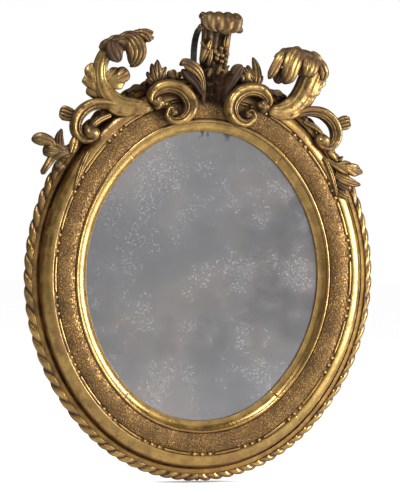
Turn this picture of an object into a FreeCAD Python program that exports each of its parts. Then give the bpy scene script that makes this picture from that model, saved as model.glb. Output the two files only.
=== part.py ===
import FreeCAD, Part
import Sketcher
import math
import os

# Carved and gilt oval wall mirror. Origin on the wall plane at the middle of the oval,
# X to the right seen from the front, Y into the wall, Z up, millimetres.

doc = FreeCAD.newDocument("oval_mirror")

# Driving dimensions: millimetres, degrees and counts
SIZES = (
    # Sight opening
    ("sight_half_width", 239),
    ("sight_half_height", 287),
    # Widths of the mouldings, from the glass outwards
    ("slip_width", 25),
    ("frieze_width", 37),
    ("ledge_width", 7),
    ("ovolo_width", 24),
    ("quirk_width", 5),
    ("flat_width", 9),
    ("twist_width", 15),
    # Depths forward of the wall
    ("base_front", 26),
    ("flat_front", 20),
    ("quirk_floor", 13),
    ("slip_lip_front", 29),
    ("slip_cove_front", 35),
    ("slip_top_front", 38),
    ("slip_bead_width", 8),
    ("frieze_inner_front", 39),
    ("frieze_outer_front", 43),
    ("ledge_front", 40),
    ("ovolo_front", 45),
    ("twist_back", 4),
    ("twist_front", 24),
    # Rise of each curved face from its chord
    ("slip_cove_rise", 2),
    ("slip_bead_rise", 3.2),
    ("frieze_rise", 4),
    ("ovolo_rise", 6.5),
    ("twist_nose", 8),
    # Pearls and reels
    ("pearl_pitch", 16),
    ("side_reels", 5),
    ("end_reels", 4),
    ("reel_radius", 2.6),
    ("reel_gap", 3),
    # Glass, glazing and backboard
    ("glass_rebate", 12),
    ("glass_thickness", 5),
    ("glass_clearance", 1.5),
    ("backboard_rebate", 12),
    ("backboard_thickness", 8),
    ("backboard_planks", 3),
    ("block_length", 30),
    ("block_width", 7),
    ("block_count", 8),
    # Dowels of the carcass joints
    ("dowel_radius", 5),
    ("dowel_length", 60),
    ("dowel_inner_offset", 45),
    ("dowel_outer_offset", 80),
    ("dowel_clearance", 0.1),
    # Hangers let into the back
    ("hanger_angle", 20),
    ("hanger_offset", 65.5),
    ("recess_width", 48),
    ("recess_height", 62),
    ("recess_depth", 9),
    ("hanger_plate_width", 46),
    ("hanger_plate_height", 12),
    ("hanger_plate_thickness", 2),
    ("knuckle_radius", 3.2),
    ("knuckle_length", 12),
    ("knuckle_axis_depth", 4),
    ("ring_wire_radius", 1.8),
    ("ring_half_width", 12),
    ("ring_side_length", 10),
    ("ring_running_clearance", 0.05),
    ("hanger_screw_spacing", 34),
    # Screws
    ("screw_radius", 1.8),
    ("screw_length", 16),
    ("screw_head_radius", 3.6),
    ("screw_head_height", 1.8),
    ("screw_clearance", 0.1),
    ("backboard_screw_count", 12),
    # Iron strap behind the plume
    ("strap_width", 13),
    ("strap_thickness", 3),
    ("strap_left", 22),
    ("strap_foot_offset", 55),
    ("strap_bend_offset", 178),
    ("strap_tab_offset", 205),
    ("strap_top_offset", 216),
    ("strap_tab_front", 40.5),
    ("strap_bend_radius", 16),
    ("strap_screw_pitch", 26),
    # Fits
    ("seat_clearance", 0.2),
    ("carving_clearance", 0.3),
    # Carving: places along the ovolo, from the top, and round pieces
    ("c_scroll_place", 80),
    ("acanthus_place", 150),
    ("outer_scroll_place", 220),
    ("end_leaf_place", 308),
    ("berry_radius", 4.3),
    ("berry_pitch", 8.8),
    ("scroll_ball_radius", 10.5),
    ("outer_ball_radius", 11),
)

sheet = doc.addObject("Spreadsheet::Sheet", "Sizes")
for row, (alias, value) in enumerate(SIZES, 1):
    sheet.set(f"A{row}", alias)
    sheet.set(f"B{row}", str(value))
    sheet.setAlias(f"B{row}", alias)
doc.recompute()


def at(*names):
    """Sum of sheet values, as an expression."""
    return " + ".join(f"Sizes.{name}" for name in names)


def size(expression):
    """Number that an expression over the sheet comes to."""
    return float(sheet.evalExpression(expression))


# Four-centred oval: every moulding is a set of quarter turns about these centres
CENTRE = "(Sizes.sight_half_height - Sizes.sight_half_width) / (2 - sqrt(2))"
SIDE_RADIUS = f"(Sizes.sight_half_width + {CENTRE})"
END_RADIUS = f"(Sizes.sight_half_height - {CENTRE})"

# Offsets outwards from the sight edge
SLIP_OUT = at("slip_width")
FRIEZE_IN = at("slip_width", "seat_clearance")
FRIEZE_OUT = at("slip_width", "frieze_width")
LEDGE_OUT = at("slip_width", "frieze_width", "ledge_width")
OVOLO_OUT = at("slip_width", "frieze_width", "ledge_width", "ovolo_width")
QUIRK_OUT = f"{OVOLO_OUT} + {at('quirk_width')}"
BASE_OUT = f"{QUIRK_OUT} + {at('flat_width')}"
RIM_OUT = f"{BASE_OUT} + {at('twist_width')}"
BOARD_EDGE = at("glass_rebate", "backboard_rebate")

# Each arc: X of its centre, Z of its centre, radius of its sight edge, angle of its middle
ARCS = {
    "right": (f"-{CENTRE}", "0", SIDE_RADIUS, 0),
    "top": ("0", CENTRE, END_RADIUS, 90),
    "left": (CENTRE, "0", SIDE_RADIUS, 180),
    "bottom": ("0", f"-{CENTRE}", END_RADIUS, 270),
}

nodes = {}


def keep(label, feature):
    """Names a finished sub-part."""
    feature.Label = label
    nodes[label] = feature
    return feature


def add_shape(name, shape):
    """Document object that holds a shape made in code."""
    feature = doc.addObject("Part::Feature", name)
    feature.Shape = shape
    feature.Placement = FreeCAD.Placement()
    return feature


# Sketched mouldings


def bind(sketch, kind, edge, point, expression):
    """Dimension of a sketch, tied to the sheet."""
    value = size(expression)
    if kind == "Radius":
        constraint = Sketcher.Constraint("Radius", edge, value)
    else:
        constraint = Sketcher.Constraint(kind, -1, 1, edge, point, value)
    index = sketch.addConstraint(constraint)
    sketch.setExpression(f"Constraints[{index}]", expression)


def arc_between(start, end, radius, convex):
    """Arc under half a turn; on a convex edge its centre is on the left of the way."""
    chord = end - start
    middle = (start + end) * 0.5
    rise = math.sqrt(radius**2 - (chord.Length / 2) ** 2)
    left = FreeCAD.Vector(-chord.y, chord.x, 0).normalize()
    centre = middle + left * (rise if convex else -rise)
    first, last = (start, end) if convex else (end, start)
    begin = math.atan2(first.y - centre.y, first.x - centre.x)
    finish = math.atan2(last.y - centre.y, last.x - centre.x)
    if finish < begin:
        finish += 2 * math.pi
    circle = Part.Circle(centre, FreeCAD.Vector(0, 0, 1), radius)
    return Part.ArcOfCircle(circle, begin, finish)


def bow_radius(before, row):
    """Radius of a curved edge, from its chord and its rise."""
    across = f"({row[0]} - ({before[0]}))"
    up = f"({row[1]} - ({before[1]}))"
    return f"({across}^2 + {up}^2) / (8 * {row[2]}) + {row[2]} / 2"


def draw_profile(sketch, radius, profile):
    """Closed section: each row is offset, depth and, for a curved edge, its rise and kind."""
    count = len(profile)
    points = [FreeCAD.Vector(size(f"{radius} + {row[0]}"), size(row[1]), 0) for row in profile]
    ends = []
    for index, row in enumerate(profile):
        start, end = points[index - 1], points[index]
        if len(row) == 2:
            sketch.addGeometry(Part.LineSegment(start, end))
            ends.append((1, 2))
        else:
            convex = row[3] == "round"
            bow = size(bow_radius(profile[index - 1], row))
            sketch.addGeometry(arc_between(start, end, bow, convex))
            ends.append((1, 2) if convex else (2, 1))
    for index in range(count):
        before = (index - 1) % count
        joint = Sketcher.Constraint("Coincident", before, ends[before][1], index, ends[index][0])
        sketch.addConstraint(joint)
    for index, row in enumerate(profile):
        bind(sketch, "DistanceX", index, ends[index][1], f"{radius} + {row[0]}")
        if row[1] == "0":
            sketch.addConstraint(Sketcher.Constraint("PointOnObject", index, ends[index][1], -1))
        else:
            bind(sketch, "DistanceY", index, ends[index][1], row[1])
        if len(row) > 2:
            bind(sketch, "Radius", index, 0, bow_radius(profile[index - 1], row))


def add_turn(body, profile, arc, start, sweep):
    """Turns a section about one centre of the oval, from an angle anticlockwise."""
    centre_x, centre_z, radius, _ = ARCS[arc]
    sketch = body.newObject("Sketcher::SketchObject", f"{body.Name}_{arc}_section")
    plane = next(item for item in body.Origin.OriginFeatures if item.Role == "XY_Plane")
    sketch.AttachmentSupport = [(plane, "")]
    sketch.MapMode = "FlatFace"
    about_wall_normal = FreeCAD.Rotation(FreeCAD.Vector(0, 1, 0), -start)
    face_front = FreeCAD.Rotation(FreeCAD.Vector(1, 0, 0), 180)
    sketch.AttachmentOffset = FreeCAD.Placement(FreeCAD.Vector(), about_wall_normal * face_front)
    sketch.setExpression("AttachmentOffset.Base.x", centre_x)
    sketch.setExpression("AttachmentOffset.Base.z", centre_z)
    draw_profile(sketch, radius, profile)
    turn = body.newObject("PartDesign::Revolution", f"{body.Name}_{arc}_turn")
    turn.Profile = sketch
    turn.ReferenceAxis = (sketch, ["V_Axis"])
    turn.Angle = sweep
    return turn


def moulding(name, profile, turns):
    """Body of one length of moulding; turns are arc, start angle and sweep."""
    body = doc.addObject("PartDesign::Body", name)
    for arc, start, sweep in turns:
        add_turn(body, profile, arc, start, sweep)
    return body


BASE_PROFILE = (
    (at("glass_rebate"), at("base_front")),
    (at("glass_rebate"), at("backboard_thickness")),
    (BOARD_EDGE, at("backboard_thickness")),
    (BOARD_EDGE, "0"),
    (BASE_OUT, "0"),
    (BASE_OUT, at("flat_front")),
    (QUIRK_OUT, at("flat_front")),
    (QUIRK_OUT, at("quirk_floor")),
    (OVOLO_OUT, at("quirk_floor")),
    (OVOLO_OUT, at("base_front")),
)
FRONT_PROFILE = (
    (FRIEZE_IN, at("base_front")),
    (OVOLO_OUT, at("base_front")),
    (LEDGE_OUT, at("ovolo_front"), at("ovolo_rise"), "round"),
    (LEDGE_OUT, at("ledge_front")),
    (FRIEZE_OUT, at("ledge_front")),
    (FRIEZE_OUT, at("frieze_outer_front")),
    (FRIEZE_IN, at("frieze_inner_front"), at("frieze_rise"), "round"),
)
BEAD_IN = "Sizes.slip_width - Sizes.slip_bead_width"
SLIP_PROFILE = (
    ("0", at("base_front")),
    (SLIP_OUT, at("base_front")),
    (SLIP_OUT, at("slip_top_front")),
    (BEAD_IN, at("slip_top_front"), at("slip_bead_rise"), "round"),
    (BEAD_IN, at("slip_cove_front")),
    ("0", at("slip_lip_front"), at("slip_cove_rise"), "hollow"),
)
TWIST_IN = f"{BASE_OUT} + {at('seat_clearance')}"
TWIST_NOSE = f"{RIM_OUT} - Sizes.twist_nose"
TWIST_PROFILE = (
    (TWIST_IN, at("twist_back")),
    (TWIST_NOSE, at("twist_back")),
    (TWIST_NOSE, at("twist_front"), at("twist_nose"), "round"),
    (TWIST_IN, at("twist_front")),
)

# Carcass lengths meet at the top, the sides and the foot
BASE_TURNS = {
    "base_upper_right": (("right", 0, 45), ("top", 45, 45)),
    "base_upper_left": (("top", 90, 45), ("left", 135, 45)),
    "base_lower_left": (("left", 180, 45), ("bottom", 225, 45)),
    "base_lower_right": (("bottom", 270, 45), ("right", 315, 45)),
}
base_blanks = {name: moulding(f"{name}_blank", BASE_PROFILE, turns) for name, turns in BASE_TURNS.items()}

# Front and sight mouldings meet at the diagonals
for arc, (_, _, _, middle) in ARCS.items():
    keep(f"front_moulding_{arc}", moulding(f"front_{arc}", FRONT_PROFILE, ((arc, middle - 45, 90),)))
    keep(f"sight_slip_{arc}", moulding(f"slip_{arc}", SLIP_PROFILE, ((arc, middle - 45, 90),)))

doc.recompute()


# Places on the oval


def oval_point(angle, offset):
    """Point of the wall plane at an angle clockwise from the top and an offset from the sight edge."""
    turn = math.radians(angle)
    across, up = math.sin(turn), math.cos(turn)
    if abs(up) > abs(across):
        centre = FreeCAD.Vector(0, 0, math.copysign(1, up) * size(CENTRE))
        radius = size(END_RADIUS) + offset
    else:
        centre = FreeCAD.Vector(-math.copysign(1, across) * size(CENTRE), 0, 0)
        radius = size(SIDE_RADIUS) + offset
    return centre + FreeCAD.Vector(across, 0, up) * radius


def place(angle, offset, forward):
    """Point on the oval, forward of the wall."""
    return oval_point(angle, offset) - FreeCAD.Vector(0, forward, 0)


def oval_plate(offset, back, thickness):
    """Oval plate with its edge at an offset from the sight edge."""
    corners = [oval_point(angle, offset) for angle in (-45, 45, 135, 225)]
    middles = [oval_point(angle, offset) for angle in (0, 90, 180, 270)]
    arcs = [Part.Arc(corners[i], middles[i], corners[(i + 1) % 4]).toShape() for i in range(4)]
    face = Part.Face(Part.Wire(arcs))
    face.translate(FreeCAD.Vector(0, -back, 0))
    return face.extrude(FreeCAD.Vector(0, -thickness, 0))


INTO_WALL = FreeCAD.Vector(0, 1, 0)
OUT_OF_WALL = FreeCAD.Vector(0, -1, 0)
RIGHTWARDS = FreeCAD.Vector(1, 0, 0)
UPWARDS = FreeCAD.Vector(0, 0, 1)


def rod(name, radius, length, start, direction):
    """Round rod from a point along a direction, with its sizes tied to the sheet."""
    cylinder = doc.addObject("Part::Cylinder", name)
    cylinder.setExpression("Radius", radius)
    cylinder.setExpression("Height", length)
    cylinder.Placement = FreeCAD.Placement(start, FreeCAD.Rotation(FreeCAD.Vector(0, 0, 1), direction))
    return cylinder


def block(name, length, width, height, placement):
    """Square block with its sizes tied to the sheet."""
    box = doc.addObject("Part::Box", name)
    box.setExpression("Length", length)
    box.setExpression("Width", width)
    box.setExpression("Height", height)
    box.Placement = placement
    return box


def group(name, members):
    """Several loose pieces as one object."""
    compound = doc.addObject("Part::Compound", name)
    compound.Links = members
    return compound


def cut(name, base, tool):
    """Piece with another cut out of it."""
    result = doc.addObject("Part::Cut", name)
    result.Base = base
    result.Tool = tool
    return result


# Mirror plate, held between the slip and the glazing blocks
glass_edge = size("Sizes.glass_rebate - Sizes.glass_clearance")
glass_back = size("Sizes.base_front - Sizes.seat_clearance - Sizes.glass_thickness")
keep("mirror_plate", add_shape("Plate", oval_plate(glass_edge, glass_back, size(at("glass_thickness")))))

# Glazing blocks behind the plate, against the rebate wall
room_behind_plate = "Sizes.base_front - Sizes.glass_thickness - Sizes.backboard_thickness"
block_height = f"{room_behind_plate} - 3 * Sizes.seat_clearance"
glazing_blocks = []
for index in range(int(size(at("block_count")))):
    angle = 360 / size(at("block_count")) * (index + 0.5)
    bow = size(at("block_length")) ** 2 / 8 / size(END_RADIUS)
    outer = size("Sizes.glass_rebate - Sizes.seat_clearance") - bow
    corner = place(angle, outer, size("Sizes.backboard_thickness + Sizes.seat_clearance"))
    spin = FreeCAD.Rotation(FreeCAD.Vector(0, 1, 0), angle)
    stand = FreeCAD.Rotation(FreeCAD.Vector(1, 0, 0), 90)
    shift = FreeCAD.Vector(-size(at("block_length")) / 2, -size(at("block_width")), 0)
    rotation = spin * stand
    seat = FreeCAD.Placement(corner + rotation.multVec(shift), rotation)
    name = f"Block{index + 1}"
    glazing_blocks.append(block(name, at("block_length"), at("block_width"), block_height, seat))
keep("glazing_blocks", group("GlazingBlocks", glazing_blocks))


# Screws: shank and head, driven from the back


def screw(name, seat):
    """Wood screw with the underside of its head at a point, driven forwards."""
    shank = rod(f"{name}Shank", at("screw_radius"), at("screw_length"), seat, OUT_OF_WALL)
    head = rod(f"{name}Head", at("screw_head_radius"), at("screw_head_height"), seat, INTO_WALL)
    whole = doc.addObject("Part::Fuse", name)
    whole.Base = shank
    whole.Tool = head
    return whole


def screw_hole(name, seat):
    """Room for a screw's shank and head."""
    radius = at("screw_radius", "screw_clearance")
    head_radius = at("screw_head_radius", "screw_clearance")
    length = at("screw_length", "screw_clearance")
    shank = rod(f"{name}Shank", radius, length, seat, OUT_OF_WALL)
    head = rod(f"{name}Head", head_radius, at("screw_head_height", "screw_clearance"), seat, INTO_WALL)
    whole = doc.addObject("Part::Fuse", name)
    whole.Base = shank
    whole.Tool = head
    return whole


def forward(expression):
    """Shift forward of the wall."""
    return FreeCAD.Vector(0, -size(expression), 0)


# Backboard of upright planks, screwed into the rebate
board_screws = []
board_holes = []
for index in range(int(size(at("backboard_screw_count")))):
    angle = 360 / size(at("backboard_screw_count")) * (index + 0.5)
    seat = oval_point(angle, size("Sizes.glass_rebate + Sizes.backboard_rebate / 2"))
    seat += forward(at("screw_head_height"))
    board_screws.append(screw(f"BoardScrew{index + 1}", seat))
    board_holes.append(screw_hole(f"BoardHole{index + 1}", seat))
keep("backboard_screws", group("BackboardScrews", board_screws))
board_hole_group = group("BoardHoles", board_holes)

board = oval_plate(size(f"{BOARD_EDGE} - Sizes.seat_clearance"), 0, size(at("backboard_thickness")))
board_half = size(f"Sizes.sight_half_width + {BOARD_EDGE}")
plank_count = int(size(at("backboard_planks")))
plank_width = 2 * board_half / plank_count
plank_gap = size(at("seat_clearance"))
board_height = 2 * size(f"Sizes.sight_half_height + {BOARD_EDGE}")
for index in range(plank_count):
    left = -board_half + index * plank_width + plank_gap / 2
    strip = Part.makeBox(plank_width - plank_gap, board_height, board_height)
    strip.translate(FreeCAD.Vector(left, -board_height / 2, -board_height / 2))
    blank = add_shape(f"PlankBlank{index + 1}", board.common(strip))
    keep(f"backboard_plank_{index + 1}", cut(f"Plank{index + 1}", blank, board_hole_group))

# Dowels across the carcass joints
dowel_depth = forward("Sizes.base_front / 2")
half_dowel = size(at("dowel_length")) / 2
dowels = []
dowel_holes = []
for angle, direction in ((0, RIGHTWARDS), (90, UPWARDS), (180, RIGHTWARDS), (270, UPWARDS)):
    for offset in ("dowel_inner_offset", "dowel_outer_offset"):
        start = oval_point(angle, size(at(offset))) + dowel_depth - direction * half_dowel
        number = len(dowels) + 1
        dowels.append(rod(f"Dowel{number}", at("dowel_radius"), at("dowel_length"), start, direction))
        radius = at("dowel_radius", "dowel_clearance")
        hole_start = start - direction * size(at("dowel_clearance"))
        length = "Sizes.dowel_length + 2 * Sizes.dowel_clearance"
        dowel_holes.append(rod(f"DowelHole{number}", radius, length, hole_start, direction))
keep("joint_dowels", group("JointDowels", dowels))

# Hangers: a plate with a knuckle, and a D-ring that swings in it
hanger_tools = []
hanger_screws = []
for side, sign in (("left", -1), ("right", 1)):
    middle = oval_point(sign * size(at("hanger_angle")), size(at("hanger_offset")))
    floor = middle + forward(at("recess_depth"))
    recess_corner = floor - FreeCAD.Vector(size("Sizes.recess_width / 2"), 0, size("Sizes.recess_height / 2"))
    recess_place = FreeCAD.Placement(recess_corner, FreeCAD.Rotation())
    recess_depth = "2 * Sizes.recess_depth"
    recess = block(f"Recess_{side}", at("recess_width"), recess_depth, at("recess_height"), recess_place)
    pocket_width = "Sizes.hanger_plate_width + 2 * Sizes.seat_clearance"
    pocket_height = "Sizes.hanger_plate_height + 2 * Sizes.seat_clearance"
    pocket_corner = floor - FreeCAD.Vector(size(pocket_width) / 2, 0, size(pocket_height) / 2)
    pocket_place = FreeCAD.Placement(pocket_corner, FreeCAD.Rotation())
    pocket = block(f"Pocket_{side}", pocket_width, recess_depth, pocket_height, pocket_place)
    hanger_tools += [recess, pocket]

    plate_corner = floor - FreeCAD.Vector(
        size("Sizes.hanger_plate_width / 2"), 0, size("Sizes.hanger_plate_height / 2")
    )
    plate = block(
        f"HangerPlate_{side}",
        at("hanger_plate_width"),
        at("hanger_plate_thickness"),
        at("hanger_plate_height"),
        FreeCAD.Placement(plate_corner, FreeCAD.Rotation()),
    )
    axis = middle + forward(at("knuckle_axis_depth"))
    knuckle_start = axis - RIGHTWARDS * size("Sizes.knuckle_length / 2")
    knuckle = rod(f"Knuckle_{side}", at("knuckle_radius"), at("knuckle_length"), knuckle_start, RIGHTWARDS)
    solid_plate = doc.addObject("Part::Fuse", f"KnucklePlate_{side}")
    solid_plate.Base = plate
    solid_plate.Tool = knuckle
    bore_start = axis - RIGHTWARDS * size(at("knuckle_length"))
    bore_radius = at("ring_wire_radius", "ring_running_clearance")
    bore = rod(f"KnuckleBore_{side}", bore_radius, "2 * Sizes.knuckle_length", bore_start, RIGHTWARDS)

    holes = [bore]
    for end in (-1, 1):
        seat = floor - forward(at("hanger_plate_thickness"))
        seat += RIGHTWARDS * (end * size("Sizes.hanger_screw_spacing / 2"))
        number = len(hanger_screws) + 1
        hanger_screws.append(screw(f"HangerScrew{number}", seat))
        holes.append(screw_hole(f"HangerHole{number}", seat))
    hanger_tools += holes[1:]
    tools = group(f"HangerHoles_{side}", holes)
    keep(f"hanger_plate_{side}", cut(f"HangerPlateCut_{side}", solid_plate, tools))

    wire = at("ring_wire_radius")
    half = size(at("ring_half_width"))
    down = -UPWARDS
    corners = [axis + RIGHTWARDS * (end * half) for end in (-1, 1)]
    bar = rod(f"RingBar_{side}", wire, "2 * Sizes.ring_half_width", corners[0], RIGHTWARDS)
    pieces = [bar]
    for number, corner in enumerate(corners):
        pieces.append(rod(f"RingSide{number}_{side}", wire, at("ring_side_length"), corner, down))
        ball = doc.addObject("Part::Sphere", f"RingCorner{number}_{side}")
        ball.setExpression("Radius", wire)
        ball.Placement.Base = corner
        pieces.append(ball)
    bow = doc.addObject("Part::Torus", f"RingBow_{side}")
    bow.setExpression("Radius1", at("ring_half_width"))
    bow.setExpression("Radius2", wire)
    bow.Angle3 = 180
    bow_centre = axis + down * size(at("ring_side_length"))
    bow.Placement = FreeCAD.Placement(bow_centre, FreeCAD.Rotation(FreeCAD.Vector(1, 0, 0), -90))
    pieces.append(bow)
    ring = doc.addObject("Part::MultiFuse", f"Ring_{side}")
    ring.Shapes = pieces
    keep(f"hanger_ring_{side}", ring)
keep("hanger_screws", group("HangerScrews", hanger_screws))

# Iron strap: up the back of the carcass, then forward to the plume


def bent_path(points, radius):
    """Straight runs joined by tangent arcs."""
    edges = []
    start = points[0]
    for before, corner, after in zip(points, points[1:], points[2:]):
        back = (before - corner).normalize()
        on = (after - corner).normalize()
        half = back.getAngle(on) / 2
        reach = radius / math.tan(half)
        arc_start = corner + back * reach
        arc_end = corner + on * reach
        inward = (back + on).normalize()
        arc_middle = corner + inward * (radius / math.sin(half) - radius)
        edges.append(Part.makeLine(start, arc_start))
        edges.append(Part.Arc(arc_start, arc_middle, arc_end).toShape())
        start = arc_end
    edges.append(Part.makeLine(start, points[-1]))
    return Part.Wire(edges)


strap_width = size(at("strap_width"))
strap_thickness = size(at("strap_thickness"))
strap_middle = size("Sizes.strap_thickness / 2 + Sizes.seat_clearance")
strap_x = -size(at("strap_left"))


def strap_point(offset, depth):
    """Point on the strap's middle line."""
    return FreeCAD.Vector(strap_x, -depth, oval_point(0, size(offset)).z)


strap_line = bent_path(
    [
        strap_point(at("strap_foot_offset"), strap_middle),
        strap_point(at("strap_bend_offset"), strap_middle),
        strap_point(at("strap_tab_offset"), size(at("strap_tab_front"))),
        strap_point(at("strap_top_offset"), size(at("strap_tab_front"))),
    ],
    size(at("strap_bend_radius")),
)
strap_end = Part.makePlane(strap_width, strap_thickness)
strap_end.translate(FreeCAD.Vector(-strap_width / 2, -strap_thickness / 2, 0))
strap_end.translate(strap_line.OrderedVertexes[0].Point)
strap_blank = add_shape("StrapBlank", strap_line.makePipeShell([strap_end.OuterWire], True, False))

strap_screws = []
strap_holes = []
for number in (1, 2):
    height = f"Sizes.strap_foot_offset + Sizes.strap_screw_pitch * {number} - Sizes.strap_screw_pitch / 2"
    seat = strap_point(height, size(at("strap_thickness", "seat_clearance", "screw_head_height")))
    seat += FreeCAD.Vector(0, size(at("strap_thickness")), 0)
    strap_screws.append(screw(f"StrapScrew{number}", seat))
    strap_holes.append(screw_hole(f"StrapHole{number}", seat))
keep("strap_screws", group("StrapScrews", strap_screws))
keep("iron_strap", cut("Strap", strap_blank, group("StrapHoles", strap_holes)))

strap_slot_corner = FreeCAD.Vector(strap_x, 0, 0) - FreeCAD.Vector(strap_width / 2, 0, 0)
strap_slot_corner += forward(at("strap_thickness", "seat_clearance"))
strap_slot_corner.x -= size(at("seat_clearance"))
strap_slot_corner.z = oval_point(0, size("Sizes.strap_foot_offset - Sizes.seat_clearance")).z
strap_slot = block(
    "StrapSlot",
    "Sizes.strap_width + 2 * Sizes.seat_clearance",
    "2 * Sizes.strap_thickness",
    "Sizes.strap_top_offset",
    FreeCAD.Placement(strap_slot_corner, FreeCAD.Rotation()),
)

# Carcass lengths, with the room for what is let into them
base_tools = group("BaseTools", dowel_holes + hanger_tools + board_holes + strap_holes + [strap_slot])
for name, blank in base_blanks.items():
    keep(name, cut(f"{name}_cut", blank, base_tools))

# Twisted edge in two halves, which meet at the top and the foot
TWIST_TURNS = {
    "twist_edge_left": (("top", 90, 45), ("left", 135, 90), ("bottom", 225, 45)),
    "twist_edge_right": (("bottom", 270, 45), ("right", 315, 90), ("top", 45, 45)),
}
for name, turns in TWIST_TURNS.items():
    keep(name, moulding(f"{name}_body", TWIST_PROFILE, turns))

# Pearls in threes with long reels between them, on the ledge
pearl_radius = size("Sizes.ledge_width / 2 - Sizes.seat_clearance")
pearl_line = size(f"{FRIEZE_OUT} + Sizes.ledge_width / 2")
pearl_front = size(at("ledge_front")) + pearl_radius
reel_front = size(at("ledge_front", "reel_radius"))
pearls = []
reels = []
QUARTERS = (
    (-45, END_RADIUS, SIDE_RADIUS, "end_reels"),
    (45, SIDE_RADIUS, END_RADIUS, "side_reels"),
    (135, END_RADIUS, SIDE_RADIUS, "end_reels"),
    (225, SIDE_RADIUS, END_RADIUS, "side_reels"),
)
for first, radius, radius_before, count in QUARTERS:
    reach = size(radius) + pearl_line
    reel_count = int(size(at(count)))
    period = 90 / reel_count
    pearl_step = math.degrees(size(at("pearl_pitch")) / reach)
    step_before = math.degrees(size(at("pearl_pitch")) / (size(radius_before) + pearl_line))
    for number in range(reel_count):
        start = first + number * period
        back_step = pearl_step if number else step_before
        for turn in (-back_step, 0, pearl_step):
            pearl_middle = place(start + turn, pearl_line, pearl_front)
            pearls.append(Part.makeSphere(pearl_radius, pearl_middle))
        trim = 1.5 * pearl_step + math.degrees(size(at("reel_gap")) / reach)
        begin = start + trim
        centre = oval_point(start + period / 2, -size(radius))
        end_point = place(begin, pearl_line, reel_front)
        tangent = FreeCAD.Vector(math.cos(math.radians(begin)), 0, -math.sin(math.radians(begin)))
        disc = Part.Face(Part.Wire(Part.makeCircle(size(at("reel_radius")), end_point, tangent)))
        reels.append(disc.revolve(centre, INTO_WALL, period - 2 * trim))
keep("pearls", add_shape("Pearls", Part.makeCompound(pearls)))
keep("reels", add_shape("Reels", Part.makeCompound(reels)))
doc.recompute()


# Carving: lofts along hand-drawn lines, each seated at its place on the ovolo

CLEAR = size(at("carving_clearance"))


def frame_envelope():
    """Front of the frame with a little room, for the seats of the carvings."""
    pearl_top = pearl_front + pearl_radius
    ovolo_shoulder = size("Sizes.ovolo_front - Sizes.ovolo_rise / 2") + CLEAR
    outline = (
        (0, -CLEAR),
        (size(RIM_OUT) + CLEAR, -CLEAR),
        (size(RIM_OUT) + CLEAR, size(at("twist_front")) + CLEAR),
        (size(OVOLO_OUT) + CLEAR, size(at("twist_front")) + CLEAR),
        (size(OVOLO_OUT) + CLEAR, size("Sizes.base_front + Sizes.ovolo_rise / 2") + CLEAR),
        (size(f"{LEDGE_OUT} + Sizes.ovolo_width * 0.75"), ovolo_shoulder),
        (size(f"{LEDGE_OUT} + Sizes.ovolo_width / 4"), pearl_top + CLEAR),
        (0, pearl_top + CLEAR),
    )
    sectors = []
    for middle, sweep, radius in ((0, 90, END_RADIUS), (67.5, 45, SIDE_RADIUS), (-67.5, 45, SIDE_RADIUS)):
        corners = [place(middle, offset, depth) for offset, depth in outline]
        face = Part.Face(Part.makePolygon(corners + corners[:1]))
        centre = oval_point(middle, -size(radius))
        face.rotate(centre, INTO_WALL, -sweep / 2)
        sectors.append(face.revolve(centre, INTO_WALL, sweep))
    return sectors[0].fuse(sectors[1:])


ENVELOPE = frame_envelope()


def crest_seat(distance):
    """Place on the front of the ovolo, at a distance along it from the top: X runs along it, Z outwards."""
    line = size(f"{LEDGE_OUT} + Sizes.ovolo_width / 2")
    end_reach = size(END_RADIUS) + line
    side_reach = size(SIDE_RADIUS) + line
    end_arc = end_reach * math.pi / 4
    if abs(distance) < end_arc:
        angle = math.degrees(distance / end_reach)
    else:
        angle = math.copysign(45 + math.degrees((abs(distance) - end_arc) / side_reach), distance)
    spin = FreeCAD.Rotation(FreeCAD.Vector(0, 1, 0), angle)
    return FreeCAD.Placement(place(angle, line, size(at("ovolo_front"))), spin)


def on_seat(seat, along, outwards, depth):
    """Point measured from a seat on the ovolo."""
    return seat.multVec(FreeCAD.Vector(along, -depth, outwards))


def leaf_section(left, right, front, back):
    """Leaf: two hollows on the front that meet in a rib, and a rounded back."""
    rib = (right - left) / 2
    return (
        ((-left, 0), ((rib - left) / 2, 0.36 * front), (rib, front)),
        ((rib, front), ((rib + right) / 2, 0.36 * front), (right, 0)),
        ((right, 0), (rib, -back), (-left, 0)),
    )


def reed_section(left, right, front, back):
    """Scroll: three reeds that step down towards the left, flat sides and back."""
    reed = (left + right) / 3
    rise = 0.3 * reed
    top = front - rise
    heights = (top, top - 0.2 * reed, top - 0.7 * reed, top - 1.4 * reed)
    crests = [(right - step * reed, height) for step, height in enumerate(heights)]
    edges = [((right, -back), None, crests[0])]
    for start, end in zip(crests, crests[1:]):
        bow = ((start[0] + end[0]) / 2, (start[1] + end[1]) / 2 + rise)
        edges.append((start, bow, end))
    edges.append((crests[-1], None, (-left, -back)))
    edges.append(((-left, -back), None, (right, -back)))
    return edges


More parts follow.
